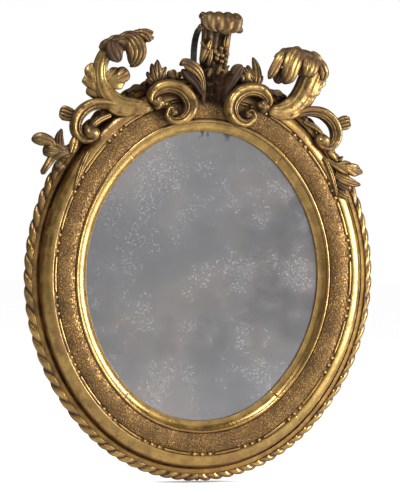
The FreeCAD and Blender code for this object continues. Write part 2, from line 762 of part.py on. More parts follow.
def carve(stations, section, seat, mirrored=False, across=None):
    """Loft along stations that are measured from a seat on the ovolo."""
    rows = [list(row) for row in stations]
    if mirrored:
        rows = [[-row[0], row[1], row[2], row[4], row[3], row[5], row[6]] for row in rows]
    points = [on_seat(seat, *row[:3]) for row in rows]
    lengths = [0.0]
    for before, after in zip(points, points[1:]):
        lengths.append(lengths[-1] + (after - before).Length)
    spine = Part.BSplineCurve()
    spine.interpolate(Points=points, Parameters=lengths)
    wires = []
    for index in range(2 * len(rows) - 1):
        low, high = rows[index // 2], rows[(index + 1) // 2]
        sizes = [(a + b) / 2 for a, b in zip(low[3:], high[3:])]
        parameter = (lengths[index // 2] + lengths[(index + 1) // 2]) / 2
        point = spine.value(parameter)
        along = FreeCAD.Vector(spine.tangent(parameter)[0])
        if across is None:
            outward = OUT_OF_WALL - along * OUT_OF_WALL.dot(along)
            outward.normalize()
            side = along.cross(outward)
        else:
            side = (across - along * across.dot(along)).normalize()
            outward = side.cross(along)
        edges = []
        for start, middle, end in section(*sizes):
            ends = [point + side * u + outward * v for u, v in (start, end)]
            if middle is None:
                edges.append(Part.makeLine(*ends))
            else:
                bow = point + side * middle[0] + outward * middle[1]
                edges.append(Part.Arc(ends[0], bow, ends[1]).toShape())
        wires.append(Part.Wire(edges))
    return Part.makeLoft(wires, True)


carved = []


def seated(shape):
    """Carving with its seat on the frame, and on the carvings already in place, cut to fit."""
    result = shape.cut(ENVELOPE)
    for neighbour in carved:
        if result.BoundBox.intersect(neighbour.BoundBox):
            result = result.cut(neighbour)
    return max(result.Solids, key=lambda solid: solid.Volume)


def keep_carving(label, shape):
    """Names a carved sub-part."""
    carved.append(shape)
    return keep(label, add_shape(f"Carved_{label}", shape))


SIDES = (("right", False), ("left", True))

# Stations of the right-hand pieces: along, outwards and forward of the seat, then the section's
# left width, right width, front height and back height
C_SCROLL = (
    (40.7, -10, 1, 6, 6, 13, 6),
    (38.6, 4.4, 1, 9, 9, 16, 14),
    (23.1, 15.1, 1, 12, 12, 18, 20),
    (3, 14.5, 1, 13, 13, 20, 20),
    (-15.2, 2.6, 1, 13.5, 13.5, 21, 14),
    (-26, -12.7, 1, 14, 14, 22, 4),
    (-28, -29.5, 1, 14, 14.5, 22, 1),
    (-19.4, -45.8, 1, 12, 12, 20, 1),
    (-2.5, -53.5, 1, 8, 9, 16, 1),
    (13.2, -48.4, 1, 6, 7, 14, 1),
    (20, -35.8, 1, 5, 6, 13, 1),
    (11.6, -27.8, 1, 4.5, 5, 13, 1),
    (4.7, -33.5, 1, 4, 4, 14, 1),
)
OUTER_SCROLL = (
    (-39.9, 14.4, -7, 6, 6, 10, 14),
    (-23.2, 40.2, -8, 9, 9, 14, 13),
    (2.6, 58, -9, 10, 10, 16, 13),
    (36.1, 56.4, -9, 10, 10, 16, 13),
    (50.5, 41.9, -9, 9, 9, 15, 12),
    (53.6, 23.4, -8, 7, 7, 14, 12),
    (44.7, 11.4, -7, 6, 6, 13, 10),
    (30, 9.8, -6, 5, 5, 12, 8),
)
SPRAY = (
    (18.7, 30.4, -9, 6, 6, 8, 13),
    (15, 46.7, -9, 12, 12, 9, 10),
    (8.4, 62.9, -7, 12, 9, 8, 8),
    (2.4, 79, -3, 2, 2, 3, 3),
)
BUD = (
    (-7.9, 30.9, -9, 5, 5, 7, 13),
    (-12.7, 40.8, -8, 9, 9, 9, 9),
    (-16.6, 50.6, -6, 8, 8, 8, 7),
    (-18.7, 56.5, -4, 2, 2, 3, 3),
)
CALYX_LEAF = (
    (38.6, 11.5, -11, 8, 8, 6, 16),
    (42.8, 22, -5, 8, 8, 6, 14),
    (50, 33.1, 6, 8, 8, 6, 7),
    (58.2, 43.9, 13, 9, 8, 5, 5),
    (69.3, 45.8, 18, 7, 6, 4, 4),
    (74.2, 35.5, 21, 3, 3, 3, 3),
)
BACK_LEAF = (
    (-35.1, 25, -17.5, 7, 5, 3, 4),
    (-17, 34.5, -17.5, 8, 6, 3, 4),
    (2, 37, -17.5, 4, 4, 3, 4),
)
CAP = (
    (37.5, 63.4, -13, 9, 9, 8, 9),
    (46.2, 76.6, -14, 10, 10, 8, 8),
    (53.4, 87.9, -15, 6, 6, 5, 5),
)
END_STEM = (
    (-23.9, 2.3, -1, 4, 4, 6, 12),
    (6.4, -2.1, 0, 5, 5, 7, 9),
    (35.2, -9.6, 1, 4, 4, 6, 6),
    (56.2, -17.6, 2, 2, 2, 4, 4),
)

# The two acanthus leaves and end leaves differ, as the carver left them
ACANTHUS_LEFT = (
    (16.8, -6.5, -1, 14, 15, 10, 10),
    (-4.7, -3, -3, 21, 20, 12, 12),
    (-26.7, 9.8, -6, 21, 20, 13, 14),
    (-39.7, 34.6, -9, 19, 18, 13, 12),
    (-42.9, 65.4, -12, 13, 13, 13, 8),
    (-38.3, 93.6, -13, 12, 12, 13, 8),
    (-23.6, 116.3, -11, 10, 15, 14, 8),
    (-4, 127.5, -3, 19, 16, 16, 10),
    (14.7, 125.7, 7, 21, 29, 18, 10),
    (26.5, 119.1, 9, 24, 14, 18, 10),
    (45.1, 113.5, 13, 28, 40, 18, 10),
    (63.8, 110.4, 15, 25, 26, 14, 8),
    (81.6, 109.7, 15, 14, 12, 8, 5),
)
ACANTHUS_RIGHT = (
    (-20.7, -0.7, -1, 15, 15, 10, 10),
    (1.8, 5.5, -4, 22, 18, 12, 12),
    (21.3, 21.3, -6, 22, 22, 13, 14),
    (26.6, 47.9, -9, 22, 20, 13, 12),
    (21.8, 75.3, -12, 22, 20, 13, 8),
    (16, 102.7, -9, 20, 20, 14, 8),
    (11, 119.9, 1, 20, 20, 16, 10),
    (-11.4, 109.8, 11, 26, 30, 18, 10),
    (-33.2, 90.5, 15, 38, 31, 18, 10),
    (-48.6, 71.2, 17, 30, 27, 15, 9),
    (-57.6, 49.1, 17, 14, 13, 8, 5),
)
END_LEAF_LEFT = (
    (20.3, 31.5, -7, 6, 6, 8, 15),
    (-2.5, 43, -7, 24, 22, 12, 14),
    (-16.4, 61.7, -8, 32, 14, 12, 10),
    (-19.6, 81.6, -9, 12, 16, 10, 8),
    (-17.8, 101.7, -9, 4, 4, 4, 4),
)
END_LEAF_RIGHT = (
    (-16.6, 14.7, -5, 5, 5, 8, 14),
    (0.9, 20, -5, 10, 9, 10, 14),
    (19.8, 29.5, -7, 16, 15, 11, 14),
    (43.4, 38.9, -9, 20, 18, 10, 10),
    (60.1, 47, -11, 12, 10, 7, 6),
    (68.8, 51.8, -12, 3, 3, 3, 3),
)
SIDE_LEAF_LEFT_OUTER = (
    (-66.4, 44.4, -14, 5, 5, 5, 6),
    (-68.1, 72.6, -14, 9, 9, 7, 6),
    (-62.4, 96.9, -15, 10, 10, 7, 6),
    (-54.4, 113.3, -16, 4, 4, 4, 4),
)
SIDE_LEAF_LEFT_INNER = (
    (-29.5, 53.7, -15, 6, 6, 5, 6),
    (-15, 64.7, -15, 14, 14, 7, 6),
    (1.5, 73, -14, 15, 13, 7, 6),
    (15.4, 74.7, -11, 5, 5, 4, 4),
)
SIDE_LEAF_RIGHT_OUTER = (
    (37.4, 61, -13, 4, 4, 4, 5),
    (52.2, 92.4, -16, 8, 8, 6, 6),
    (49.5, 120, -17, 8, 8, 6, 6),
    (35.4, 139.5, -15, 4, 4, 4, 4),
)
PLUME = (
    (4.2, 16, -7, 20, 20, 5, 15),
    (5, 33, -6, 24, 24, 6, 15),
    (7.1, 52.9, -3, 30, 30, 8, 9),
    (10.5, 88.9, -3, 31, 31, 11, 9),
    (12.7, 118.8, -2, 34, 34, 11, 9),
    (13.4, 139.8, 3, 35, 36, 9, 8),
    (13.7, 149.8, 15, 36, 40, 7, 7),
    (12.8, 144.8, 29, 36, 40, 6, 6),
    (10.8, 127.9, 35, 34, 36, 5, 5),
    (9, 111.9, 33, 27, 29, 3, 3),
)
CALYX = (
    (3.6, -25, 3, 18, 20, 6, 5),
    (4, 1, 5, 21, 24, 7, 5),
    (4.9, 25, 12, 24, 29, 6, 5),
    (5.8, 44.9, 22, 28, 36, 5, 5),
    (6, 55.9, 28, 23, 32, 3, 3),
)

MIRRORED_LEAVES = (
    ("spray", SPRAY, "c_scroll_place"),
    ("crest_bud", BUD, "c_scroll_place"),
    ("back_leaf", BACK_LEAF, "acanthus_place"),
    ("end_stem", END_STEM, "end_leaf_place"),
)
ACANTHUS = {"left": ACANTHUS_LEFT, "right": ACANTHUS_RIGHT}
END_LEAF = {"left": END_LEAF_LEFT, "right": END_LEAF_RIGHT}
SIDE_LEAVES = {
    "left": (("side_leaf_left_outer", SIDE_LEAF_LEFT_OUTER), ("side_leaf_left_inner", SIDE_LEAF_LEFT_INNER)),
    "right": (("side_leaf_right_outer", SIDE_LEAF_RIGHT_OUTER),),
}
SCROLL_BALL_ALONG = 24.8
SCROLL_BALL_OUTWARDS = -12.1
SCROLL_BALL_DEPTH = 9
OUTER_BALL_ALONG = 37.3
OUTER_BALL_OUTWARDS = 26.2
OUTER_BALL_DEPTH = -5
top_seat = crest_seat(0)

for side, mirrored in SIDES:
    sign = -1 if mirrored else 1
    scroll_seat = crest_seat(sign * size(at("c_scroll_place")))
    acanthus_seat = crest_seat(sign * size(at("acanthus_place")))
    outer_seat = crest_seat(sign * size(at("outer_scroll_place")))
    end_seat = crest_seat(sign * size(at("end_leaf_place")))
    keep_carving(f"acanthus_{side}", seated(carve(ACANTHUS[side], leaf_section, acanthus_seat)))
    for name, stations, where in MIRRORED_LEAVES:
        seat = crest_seat(sign * size(at(where)))
        keep_carving(f"{name}_{side}", seated(carve(stations, leaf_section, seat, mirrored)))
    keep_carving(f"calyx_leaf_{side}", seated(carve(CALYX_LEAF, leaf_section, top_seat, mirrored)))
    keep_carving(f"c_scroll_{side}", seated(carve(C_SCROLL, reed_section, scroll_seat, mirrored)))
    middle = on_seat(scroll_seat, sign * SCROLL_BALL_ALONG, SCROLL_BALL_OUTWARDS, SCROLL_BALL_DEPTH)
    keep_carving(f"scroll_ball_{side}", seated(Part.makeSphere(size(at("scroll_ball_radius")), middle)))
    keep_carving(f"outer_scroll_{side}", seated(carve(OUTER_SCROLL, reed_section, outer_seat, mirrored)))
    middle = on_seat(outer_seat, sign * OUTER_BALL_ALONG, OUTER_BALL_OUTWARDS, OUTER_BALL_DEPTH)
    keep_carving(f"outer_ball_{side}", seated(Part.makeSphere(size(at("outer_ball_radius")), middle)))
    keep_carving(f"scroll_cap_{side}", seated(carve(CAP, leaf_section, outer_seat, mirrored)))
    for name, stations in SIDE_LEAVES[side]:
        keep_carving(name, seated(carve(stations, leaf_section, acanthus_seat)))
    keep_carving(f"end_leaf_{side}", seated(carve(END_LEAF[side], leaf_section, end_seat)))

plume = seated(carve(PLUME, leaf_section, top_seat, across=RIGHTWARDS))
keep_carving("plume", plume)
BERRIES_ALONG = 18.9
BERRIES_OUTWARDS = 74.5
BERRIES_DEPTH = 5
BERRY_STEP_BACK = 2.8
berry_seat = plume.translated(OUT_OF_WALL * CLEAR)
berries = []
berry_pitch = size(at("berry_pitch"))
for column in (-1, 0, 1):
    for row in (-1, 0, 1):
        middle = on_seat(top_seat, BERRIES_ALONG, BERRIES_OUTWARDS, BERRIES_DEPTH - BERRY_STEP_BACK * column)
        middle += (RIGHTWARDS * column + UPWARDS * row) * berry_pitch
        berry = seated(Part.makeSphere(size(at("berry_radius")), middle))
        berries.append(berry.cut(berry_seat).Solids[0])
keep_carving("plume_berries", Part.makeCompound(berries))
keep_carving("calyx", seated(carve(CALYX, leaf_section, top_seat, across=RIGHTWARDS)))

doc.recompute()

# Checks, then one file for each sub-part
for item in doc.Objects:
    if "Invalid" in item.State or "Error" in item.State:
        raise ValueError(f"{item.Label} is {item.State}")
os.makedirs("parts", exist_ok=True)
for label, feature in nodes.items():
    if feature.Shape.isNull() or not feature.Shape.isValid():
        raise ValueError(f"{label} has no valid shape")
    feature.Shape.exportStep(f"parts/{label}.step")
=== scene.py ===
import math

import bpy
import numpy as np
from mathutils import Matrix, Vector

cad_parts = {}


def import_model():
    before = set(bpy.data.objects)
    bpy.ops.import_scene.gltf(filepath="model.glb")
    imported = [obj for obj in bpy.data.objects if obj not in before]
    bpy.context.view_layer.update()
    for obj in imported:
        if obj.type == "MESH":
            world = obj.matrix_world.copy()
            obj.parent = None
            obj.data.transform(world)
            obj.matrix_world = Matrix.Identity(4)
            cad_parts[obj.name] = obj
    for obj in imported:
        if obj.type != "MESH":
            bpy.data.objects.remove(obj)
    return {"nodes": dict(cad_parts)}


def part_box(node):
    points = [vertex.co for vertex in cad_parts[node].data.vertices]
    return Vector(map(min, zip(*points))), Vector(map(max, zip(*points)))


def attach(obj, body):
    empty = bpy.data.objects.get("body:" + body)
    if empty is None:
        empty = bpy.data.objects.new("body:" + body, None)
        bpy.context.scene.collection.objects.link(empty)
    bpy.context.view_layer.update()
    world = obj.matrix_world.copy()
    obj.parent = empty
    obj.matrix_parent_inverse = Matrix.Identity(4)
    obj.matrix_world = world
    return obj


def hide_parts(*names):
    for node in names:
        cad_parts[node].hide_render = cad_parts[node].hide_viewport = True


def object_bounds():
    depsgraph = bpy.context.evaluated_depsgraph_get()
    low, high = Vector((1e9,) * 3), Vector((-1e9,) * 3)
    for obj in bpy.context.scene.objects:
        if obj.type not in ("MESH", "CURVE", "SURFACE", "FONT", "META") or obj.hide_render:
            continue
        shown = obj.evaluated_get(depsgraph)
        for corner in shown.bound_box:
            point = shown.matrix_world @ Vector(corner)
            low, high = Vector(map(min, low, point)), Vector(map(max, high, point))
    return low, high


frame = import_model()
cad_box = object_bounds()

# Lengths of the pieces are millimetres; meshes, materials and the studio are in metres
MM = 0.001
RANDOM = np.random.default_rng(7)

# The oval, taken from the rim of the frame: four arcs about four centres
RIM_OFFSET = 122
rim_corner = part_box("twist_edge_right")[1] / MM
SIGHT_HALF_WIDTH = rim_corner.x - RIM_OFFSET
SIGHT_HALF_HEIGHT = rim_corner.z - RIM_OFFSET
CENTRE = (SIGHT_HALF_HEIGHT - SIGHT_HALF_WIDTH) / (2 - math.sqrt(2))
END_RADIUS = SIGHT_HALF_HEIGHT - CENTRE
SIDE_RADIUS = SIGHT_HALF_WIDTH + CENTRE

FORWARD = np.array((0.0, -1.0, 0.0))
RIGHTWARDS = np.array((1.0, 0.0, 0.0))
SIDES = {"right": 1, "left": -1}


def oval(angle, offset, forward):
    """Points at angles clockwise from the top, offsets from the sight edge and depths forward of the wall."""
    turn = np.radians(angle)
    across, up = np.sin(turn), np.cos(turn)
    on_end = np.abs(up) >= np.abs(across)
    reach = np.where(on_end, END_RADIUS, SIDE_RADIUS) + offset
    x = across * reach - np.where(on_end, 0, np.sign(across) * CENTRE)
    z = up * reach + np.where(on_end, np.sign(up) * CENTRE, 0)
    return np.stack(np.broadcast_arrays(x, -np.asarray(forward, float), z), axis=-1)


def unit(vectors):
    """Vectors of length one."""
    return vectors / np.linalg.norm(vectors, axis=-1, keepdims=True)


# Materials


class Nodes:
    """Short way to build a node tree."""

    def __init__(self, name):
        self.material = bpy.data.materials.new(name)
        self.material.use_nodes = True
        self.tree = self.material.node_tree
        self.shader = self.tree.nodes["Principled BSDF"]

    def add(self, kind, **values):
        """Node with its properties and the defaults of its sockets set."""
        node = self.tree.nodes.new(kind)
        for key, value in values.items():
            if hasattr(node, key):
                setattr(node, key, value)
            else:
                node.inputs[key.replace("_", " ")].default_value = value
        return node

    def link(self, source, target):
        """Wire from an output socket to an input socket."""
        self.tree.links.new(source, target)

    def math(self, operation, first, second):
        """Sum, product or the like of two sockets or numbers."""
        node = self.add("ShaderNodeMath", operation=operation)
        for socket, value in zip(node.inputs, (first, second)):
            if isinstance(value, (int, float)):
                socket.default_value = value
            else:
                self.link(value, socket)
        return node.outputs[0]

    def ramp(self, factor, low, high, dark=0.0, light=1.0):
        """Value that runs smoothly between two limits of a factor."""
        node = self.add("ShaderNodeMapRange", interpolation_type="SMOOTHSTEP")
        node.inputs["From Min"].default_value = low
        node.inputs["From Max"].default_value = high
        node.inputs["To Min"].default_value = dark
        node.inputs["To Max"].default_value = light
        self.link(factor, node.inputs["Value"])
        return node.outputs["Result"]

    def mix(self, factor, first, second):
        """Blend of two colours, each a socket or a colour."""
        node = self.add("ShaderNodeMix", data_type="RGBA")
        self.link(factor, node.inputs["Factor"])
        for socket, value in ((node.inputs[6], first), (node.inputs[7], second)):
            if isinstance(value, tuple):
                socket.default_value = (*value, 1)
            else:
                self.link(value, socket)
        return node.outputs[2]

    def place(self, drawn_out=1.0, turn=0.0, shift=0.0):
        """Coordinates of the object in metres, drawn out along an upright line that is turned about Y."""
        coordinates = self.add("ShaderNodeTexCoord")
        mapping = self.add("ShaderNodeMapping", vector_type="TEXTURE")
        mapping.inputs["Location"].default_value = (shift, 0, 0)
        mapping.inputs["Rotation"].default_value = (0, turn, 0)
        mapping.inputs["Scale"].default_value = (1, 1, drawn_out)
        self.link(coordinates.outputs["Object"], mapping.inputs["Vector"])
        return mapping.outputs["Vector"]

    def axes(self):
        """The object's X, Y and Z in metres."""
        split = self.add("ShaderNodeSeparateXYZ")
        self.link(self.place(), split.inputs["Vector"])
        return split.outputs["X"], split.outputs["Y"], split.outputs["Z"]

    def noise(self, scale, detail=4, roughness=0.6, **where):
        """Cloudy value; scale is the number of clouds in a metre."""
        node = self.add("ShaderNodeTexNoise", Scale=scale, Detail=detail, Roughness=roughness)
        self.link(self.place(**where), node.inputs["Vector"])
        return node.outputs["Fac"]

    def cells(self, scale, **where):
        """Distance to the middle of the nearest of many small cells."""
        node = self.add("ShaderNodeTexVoronoi", Scale=scale)
        self.link(self.place(**where), node.inputs["Vector"])
        return node.outputs["Distance"]

    def attribute(self, name):
        """Value that the mesh keeps at its points."""
        return self.add("ShaderNodeAttribute", attribute_name=name).outputs["Fac"]

    def openness(self, reach, samples):
        """How open the surface lies: low in corners; reach is in metres."""
        return self.add("ShaderNodeAmbientOcclusion", samples=samples, Distance=reach).outputs["AO"]

    def bump(self, height, strength, distance):
        """Relief too fine for the mesh."""
        node = self.add("ShaderNodeBump", Strength=strength, Distance=distance)
        self.link(height, node.inputs["Height"])
        self.link(node.outputs["Normal"], self.shader.inputs["Normal"])

    def wire(self, **sockets):
        """Links to the shader's sockets by name."""
        for name, source in sockets.items():
            self.link(source, self.shader.inputs[name.replace("_", " ")])


def darker(colour, share):
    """Colour with a share of its brightness."""
    return tuple(share * part for part in colour)


# Colours of the gilding, of the soiling and painted shade in its hollows, of the wood and of the old
# silvering
GOLD = (0.7, 0.44, 0.125)
CARVED_GOLD = (0.73, 0.475, 0.165)
# Paler gold of the pearls, as painted light that they catch
PAINTED_LIGHT_GOLD = (0.82, 0.6, 0.28)
FRIEZE_GOLD = (0.46, 0.27, 0.085)
BRONZE = (0.13, 0.08, 0.045)
# Near-black brown of the calyx and its right leaf: dark patina, deepened as painted shade
PATINA_AND_SHADE_BROWN = (0.015, 0.0095, 0.006)
BOLE = (0.23, 0.085, 0.025)
# Two colours each of the soiling and painted shade in the hollows and corners of the gilding
WARM_SOILING_AND_SHADE = (BOLE, (0.06, 0.026, 0.011))
BROWN_SOILING_AND_SHADE = ((0.12, 0.055, 0.02), (0.055, 0.025, 0.011))
DARK_SOILING_AND_SHADE = ((0.085, 0.041, 0.018), (0.035, 0.019, 0.01))
LIGHT_BOARD = (0.4, 0.24, 0.115)
DARK_BOARD = (0.2, 0.115, 0.055)
LIGHT_RISING = (0.4, 0.25, 0.12)
DARK_RISING = (0.22, 0.125, 0.055)
LIGHT_FALLING = (0.37, 0.23, 0.11)
DARK_FALLING = (0.2, 0.115, 0.05)
SILVER_DARK = (0.36, 0.366, 0.392)
SILVER_LIGHT = (0.545, 0.535, 0.535)
SILVER_WARM = (0.55, 0.505, 0.485)
PALE_SPOTS = (0.8, 0.78, 0.78)
DARK_SPOTS = (0.24, 0.24, 0.25)
LOST_SILVER = (0.06, 0.06, 0.065)

# Depth at which the gilding of the carcass gives way to bare wood, metres
GILDING_END = (-0.0112, -0.0108)
# Distance from a board's edge over which its dirt fades, metres
DIRTY_EDGE = (0.0008, 0.0035)
# Heights between which the silvering is lost, near the top of the plate, metres
LOST_HEIGHT = (0.262, 0.286)


def gilding(nodes, gold, worn, dirt, roughness, reach=0.02, chiselled=0.0, ground=WARM_SOILING_AND_SHADE, punched=False):
    """Old water gilding: gold, rubbed through to the bole in patches, darkened in the hollows and corners by
    soiling and painted shade.

    worn and dirt are shares, dirt that of the soiling and painted shade; reach is how far the painted corner
    shade spreads, and ground is its two colours.
    """
    patches = nodes.noise(26, detail=6)
    specks = nodes.noise(240, detail=3)
    # Painted shade: darker where the surface lies in a corner, and in the mesh's hollows, which also hold
    # soiling
    painted_corner_shade = nodes.math("MULTIPLY", nodes.ramp(nodes.openness(reach, 6), 0.3, 0.97, 1.0, 0.0), dirt)
    depth = nodes.math("MAXIMUM", nodes.math("MULTIPLY", nodes.attribute("hollow"), dirt), painted_corner_shade)
    rubbed = nodes.ramp(nodes.math("ADD", patches, nodes.math("MULTIPLY", specks, 0.35)), 0.62, 0.86)
    rubbed = nodes.math("MULTIPLY", rubbed, worn)
    tone = nodes.mix(nodes.ramp(nodes.noise(38, detail=6), 0.35, 0.65), gold, darker(gold, 0.66))
    clouded = nodes.ramp(nodes.noise(45, detail=5), 0.25, 0.6, 0.55, 1.0)
    browned = nodes.math("MULTIPLY", nodes.attribute("age"), clouded)
    tone = nodes.mix(browned, tone, BRONZE)
    surface = nodes.mix(rubbed, tone, BOLE)
    # Share of the surface that takes the colours of soiling and painted shade
    soiling_and_shade_cover = nodes.ramp(nodes.math("ADD", depth, nodes.math("MULTIPLY", specks, 0.25)), 0.12, 0.82)
    relief = nodes.math("MULTIPLY", specks, 0.4)
    if punched:
        between = nodes.ramp(nodes.noise(360, detail=3), 0.38, 0.58, 0.0, 0.88)
        soiling_and_shade_cover = nodes.math("MAXIMUM", soiling_and_shade_cover, between)
        relief = nodes.math("SUBTRACT", relief, nodes.ramp(nodes.cells(330), 0.15, 0.55))
    if chiselled:
        streaks = nodes.ramp(nodes.noise(62, detail=5), 0.5, 0.64, 0.0, 0.75)
        soiling_and_shade_cover = nodes.math("MAXIMUM", soiling_and_shade_cover, streaks)
        relief = nodes.math("ADD", relief, nodes.math("MULTIPLY", nodes.noise(95, detail=2), chiselled))
    colour = nodes.mix(soiling_and_shade_cover, surface, nodes.mix(nodes.ramp(patches, 0.4, 0.6), *ground))
    bare = nodes.math("MAXIMUM", nodes.math("MAXIMUM", soiling_and_shade_cover, rubbed), nodes.math("MULTIPLY", browned, 0.6))
    uneven = nodes.ramp(patches, 0.3, 0.8, 0.0, 0.12)
    gloss = nodes.math("ADD", nodes.ramp(bare, 0.0, 1.0, roughness, 0.6), uneven)
    return colour, nodes.ramp(bare, 0.0, 1.0, 1.0, 0.3), gloss, relief


def gilt(name, gold, burnish=0.0, **look):
    """Gilded piece; burnish is the weight of a clear coat."""
    nodes = Nodes(name)
    colour, metallic, gloss, relief = gilding(nodes, gold, **look)
    nodes.shader.inputs["Coat Weight"].default_value = burnish
    nodes.shader.inputs["Coat Roughness"].default_value = 0.2
    nodes.wire(Base_Color=colour, Metallic=metallic, Roughness=gloss)
    nodes.bump(relief, 0.6, 0.0014)
    return nodes.material


def timber(nodes, light, dark, **where):
    """Old bare softwood: grain, knots and stains."""
    grain = nodes.noise(90, detail=5, drawn_out=18, **where)
    knots = nodes.ramp(nodes.cells(4.5, drawn_out=2, **where), 0.04, 0.09, 0.8, 0.0)
    stains = nodes.ramp(nodes.noise(9, **where), 0.45, 0.75, 0.0, 0.55)
    colour = nodes.mix(nodes.ramp(grain, 0.35, 0.68), light, dark)
    colour = nodes.mix(nodes.math("MAXIMUM", knots, stains), colour, darker(dark, 0.35))
    return colour, nodes.ramp(grain, 0.3, 0.7, 0.62, 0.85), grain


def wood(name, light, dark, node, **where):
    """Bare board, with dirt along its two upright edges."""
    nodes = Nodes(name)
    colour, gloss, grain = timber(nodes, light, dark, **where)
    low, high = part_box(node)
    across = nodes.axes()[0]
    from_left = nodes.math("SUBTRACT", across, low.x)
    from_right = nodes.math("SUBTRACT", high.x, across)
    dirt = nodes.ramp(nodes.math("MINIMUM", from_left, from_right), *DIRTY_EDGE, 0.9, 0.0)
    nodes.wire(Base_Color=nodes.mix(dirt, colour, darker(dark, 0.2)), Roughness=gloss)
    nodes.bump(nodes.math("SUBTRACT", grain, dirt), 0.3, 0.0008)
    return nodes.material


def carcass(name, light, dark, **where):
    """Length of the carcass ring: gilt on the face, bare wood on the back."""
    nodes = Nodes(name)
    gold, metallic, gloss, relief = gilding(nodes, GOLD, worn=0.6, dirt=0.8, roughness=0.34)
    bare, dull, grain = timber(nodes, light, dark, **where)
    behind = nodes.ramp(nodes.axes()[1], *GILDING_END)
    front = nodes.math("SUBTRACT", 1.0, behind)

    def by_side(on_front, on_back):
        on_front = nodes.math("MULTIPLY", on_front, front)
        return nodes.math("ADD", on_front, nodes.math("MULTIPLY", on_back, behind))

    nodes.wire(
        Base_Color=nodes.mix(behind, gold, bare),
        Metallic=nodes.math("MULTIPLY", metallic, front),
        Roughness=by_side(gloss, dull),
    )
    nodes.bump(by_side(relief, grain), 0.5, 0.001)
    return nodes.material


def metal(name, colour, tarnish, roughness):
    """Old metal with a patchy surface."""
    nodes = Nodes(name)
    patches = nodes.noise(120, detail=6)
    nodes.wire(
        Base_Color=nodes.mix(nodes.ramp(patches, 0.4, 0.7), colour, tarnish),
        Roughness=nodes.ramp(patches, 0.35, 0.75, roughness, roughness + 0.25),
    )
    nodes.shader.inputs["Metallic"].default_value = 0.85
    nodes.bump(nodes.noise(700), 0.2, 0.0003)
    return nodes.material


def old_mirror():
    """Old silvered plate: grey, clouded, with fine pale and dark spots, and silver lost along its top."""
    nodes = Nodes("old_mirror")
    clouds = nodes.noise(3.5, detail=3, roughness=0.45)
    haze = nodes.noise(16, detail=4)
    dots = nodes.ramp(nodes.noise(240, detail=1), 0.5, 0.68)
    speckled = nodes.math("MULTIPLY", nodes.ramp(haze, 0.4, 0.66, 0.25, 1.0), dots)
    lost = nodes.ramp(nodes.noise(55, detail=5), 0.5, 0.6, 0.0, 0.8)
    lost = nodes.math("MULTIPLY", nodes.ramp(nodes.axes()[2], *LOST_HEIGHT), lost)
    dark_grain = nodes.ramp(nodes.cells(230, shift=0.5), 0.15, 0.5, 1.0, 0.0)
    dark_grain = nodes.math("MULTIPLY", nodes.ramp(nodes.noise(9), 0.5, 0.7), dark_grain)
    tone = nodes.mix(nodes.ramp(clouds, 0.3, 0.7), SILVER_DARK, SILVER_LIGHT)
    tone = nodes.mix(nodes.ramp(nodes.noise(6, detail=3), 0.46, 0.64, 0.0, 0.6), tone, SILVER_WARM)
    tone = nodes.mix(nodes.math("MULTIPLY", speckled, 0.22), tone, PALE_SPOTS)
    tone = nodes.mix(nodes.math("MULTIPLY", dark_grain, 0.4), tone, DARK_SPOTS)
    tone = nodes.mix(lost, tone, LOST_SILVER)
    nodes.wire(
        Base_Color=tone,
        Roughness=nodes.ramp(haze, 0.35, 0.75, 0.22, 0.28),
        Metallic=nodes.ramp(speckled, 0.0, 1.0, 0.95, 0.66),
    )
    nodes.bump(haze, 0.03, 0.0005)
    return nodes.material


GILT_MOULDING = gilt("gilt_moulding", GOLD, burnish=0.7, worn=0.6, dirt=0.9, roughness=0.27)
GILT_SLIP = gilt("gilt_slip", GOLD, burnish=0.7, worn=0.4, dirt=0.75, roughness=0.24)
# Pearls take the paler gold as painted light, with little soiling
GILT_PEARLS = gilt("gilt_pearls", PAINTED_LIGHT_GOLD, worn=0.2, dirt=0.15, roughness=0.48, reach=0.006)
GILT_LEDGE = gilt("gilt_ledge", GOLD, worn=0.3, dirt=0.6, roughness=0.36, reach=0.006)
GILT_FRIEZE = gilt(
    "gilt_frieze", FRIEZE_GOLD, worn=0.2, dirt=0.8, roughness=0.34, ground=BROWN_SOILING_AND_SHADE, punched=True
)
# Carving: soiling and painted shade spread far into the gaps between its parts
CARVED_LOOK = {"dirt": 1.0, "reach": 0.055, "chiselled": 1.3, "ground": DARK_SOILING_AND_SHADE}
GILT_CARVING = gilt("gilt_carving", CARVED_GOLD, worn=0.7, roughness=0.37, **CARVED_LOOK)
PATINA_AND_SHADE_CARVING = gilt("patina_and_shade_carving", PATINA_AND_SHADE_BROWN, worn=0.1, roughness=0.42, **CARVED_LOOK)
CARCASS_RISING = carcass("carcass_rising", LIGHT_RISING, DARK_RISING, turn=math.radians(45))
CARCASS_FALLING = carcass("carcass_falling", LIGHT_FALLING, DARK_FALLING, turn=math.radians(-45))
BOARD_TONES = {"backboard_plank_1": 1.0, "backboard_plank_2": 0.72, "backboard_plank_3": 0.88}
BOARDS = {
    node: wood(f"{node}_wood", darker(LIGHT_BOARD, tone), darker(DARK_BOARD, tone), node, shift=3 * tone)
    for node, tone in BOARD_TONES.items()
}
BLOCK_WOOD = wood("block_wood", LIGHT_BOARD, DARK_BOARD, "glazing_blocks")
IRON = metal("wrought_iron", (0.13, 0.13, 0.14), (0.07, 0.06, 0.055), 0.45)
BRASS = metal("hanger_brass", (0.62, 0.45, 0.19), (0.3, 0.2, 0.09), 0.32)
STEEL = metal("screw_steel", (0.4, 0.39, 0.37), (0.2, 0.17, 0.15), 0.38)
MIRROR = old_mirror()


# Meshes: rings of points, one after another along a line


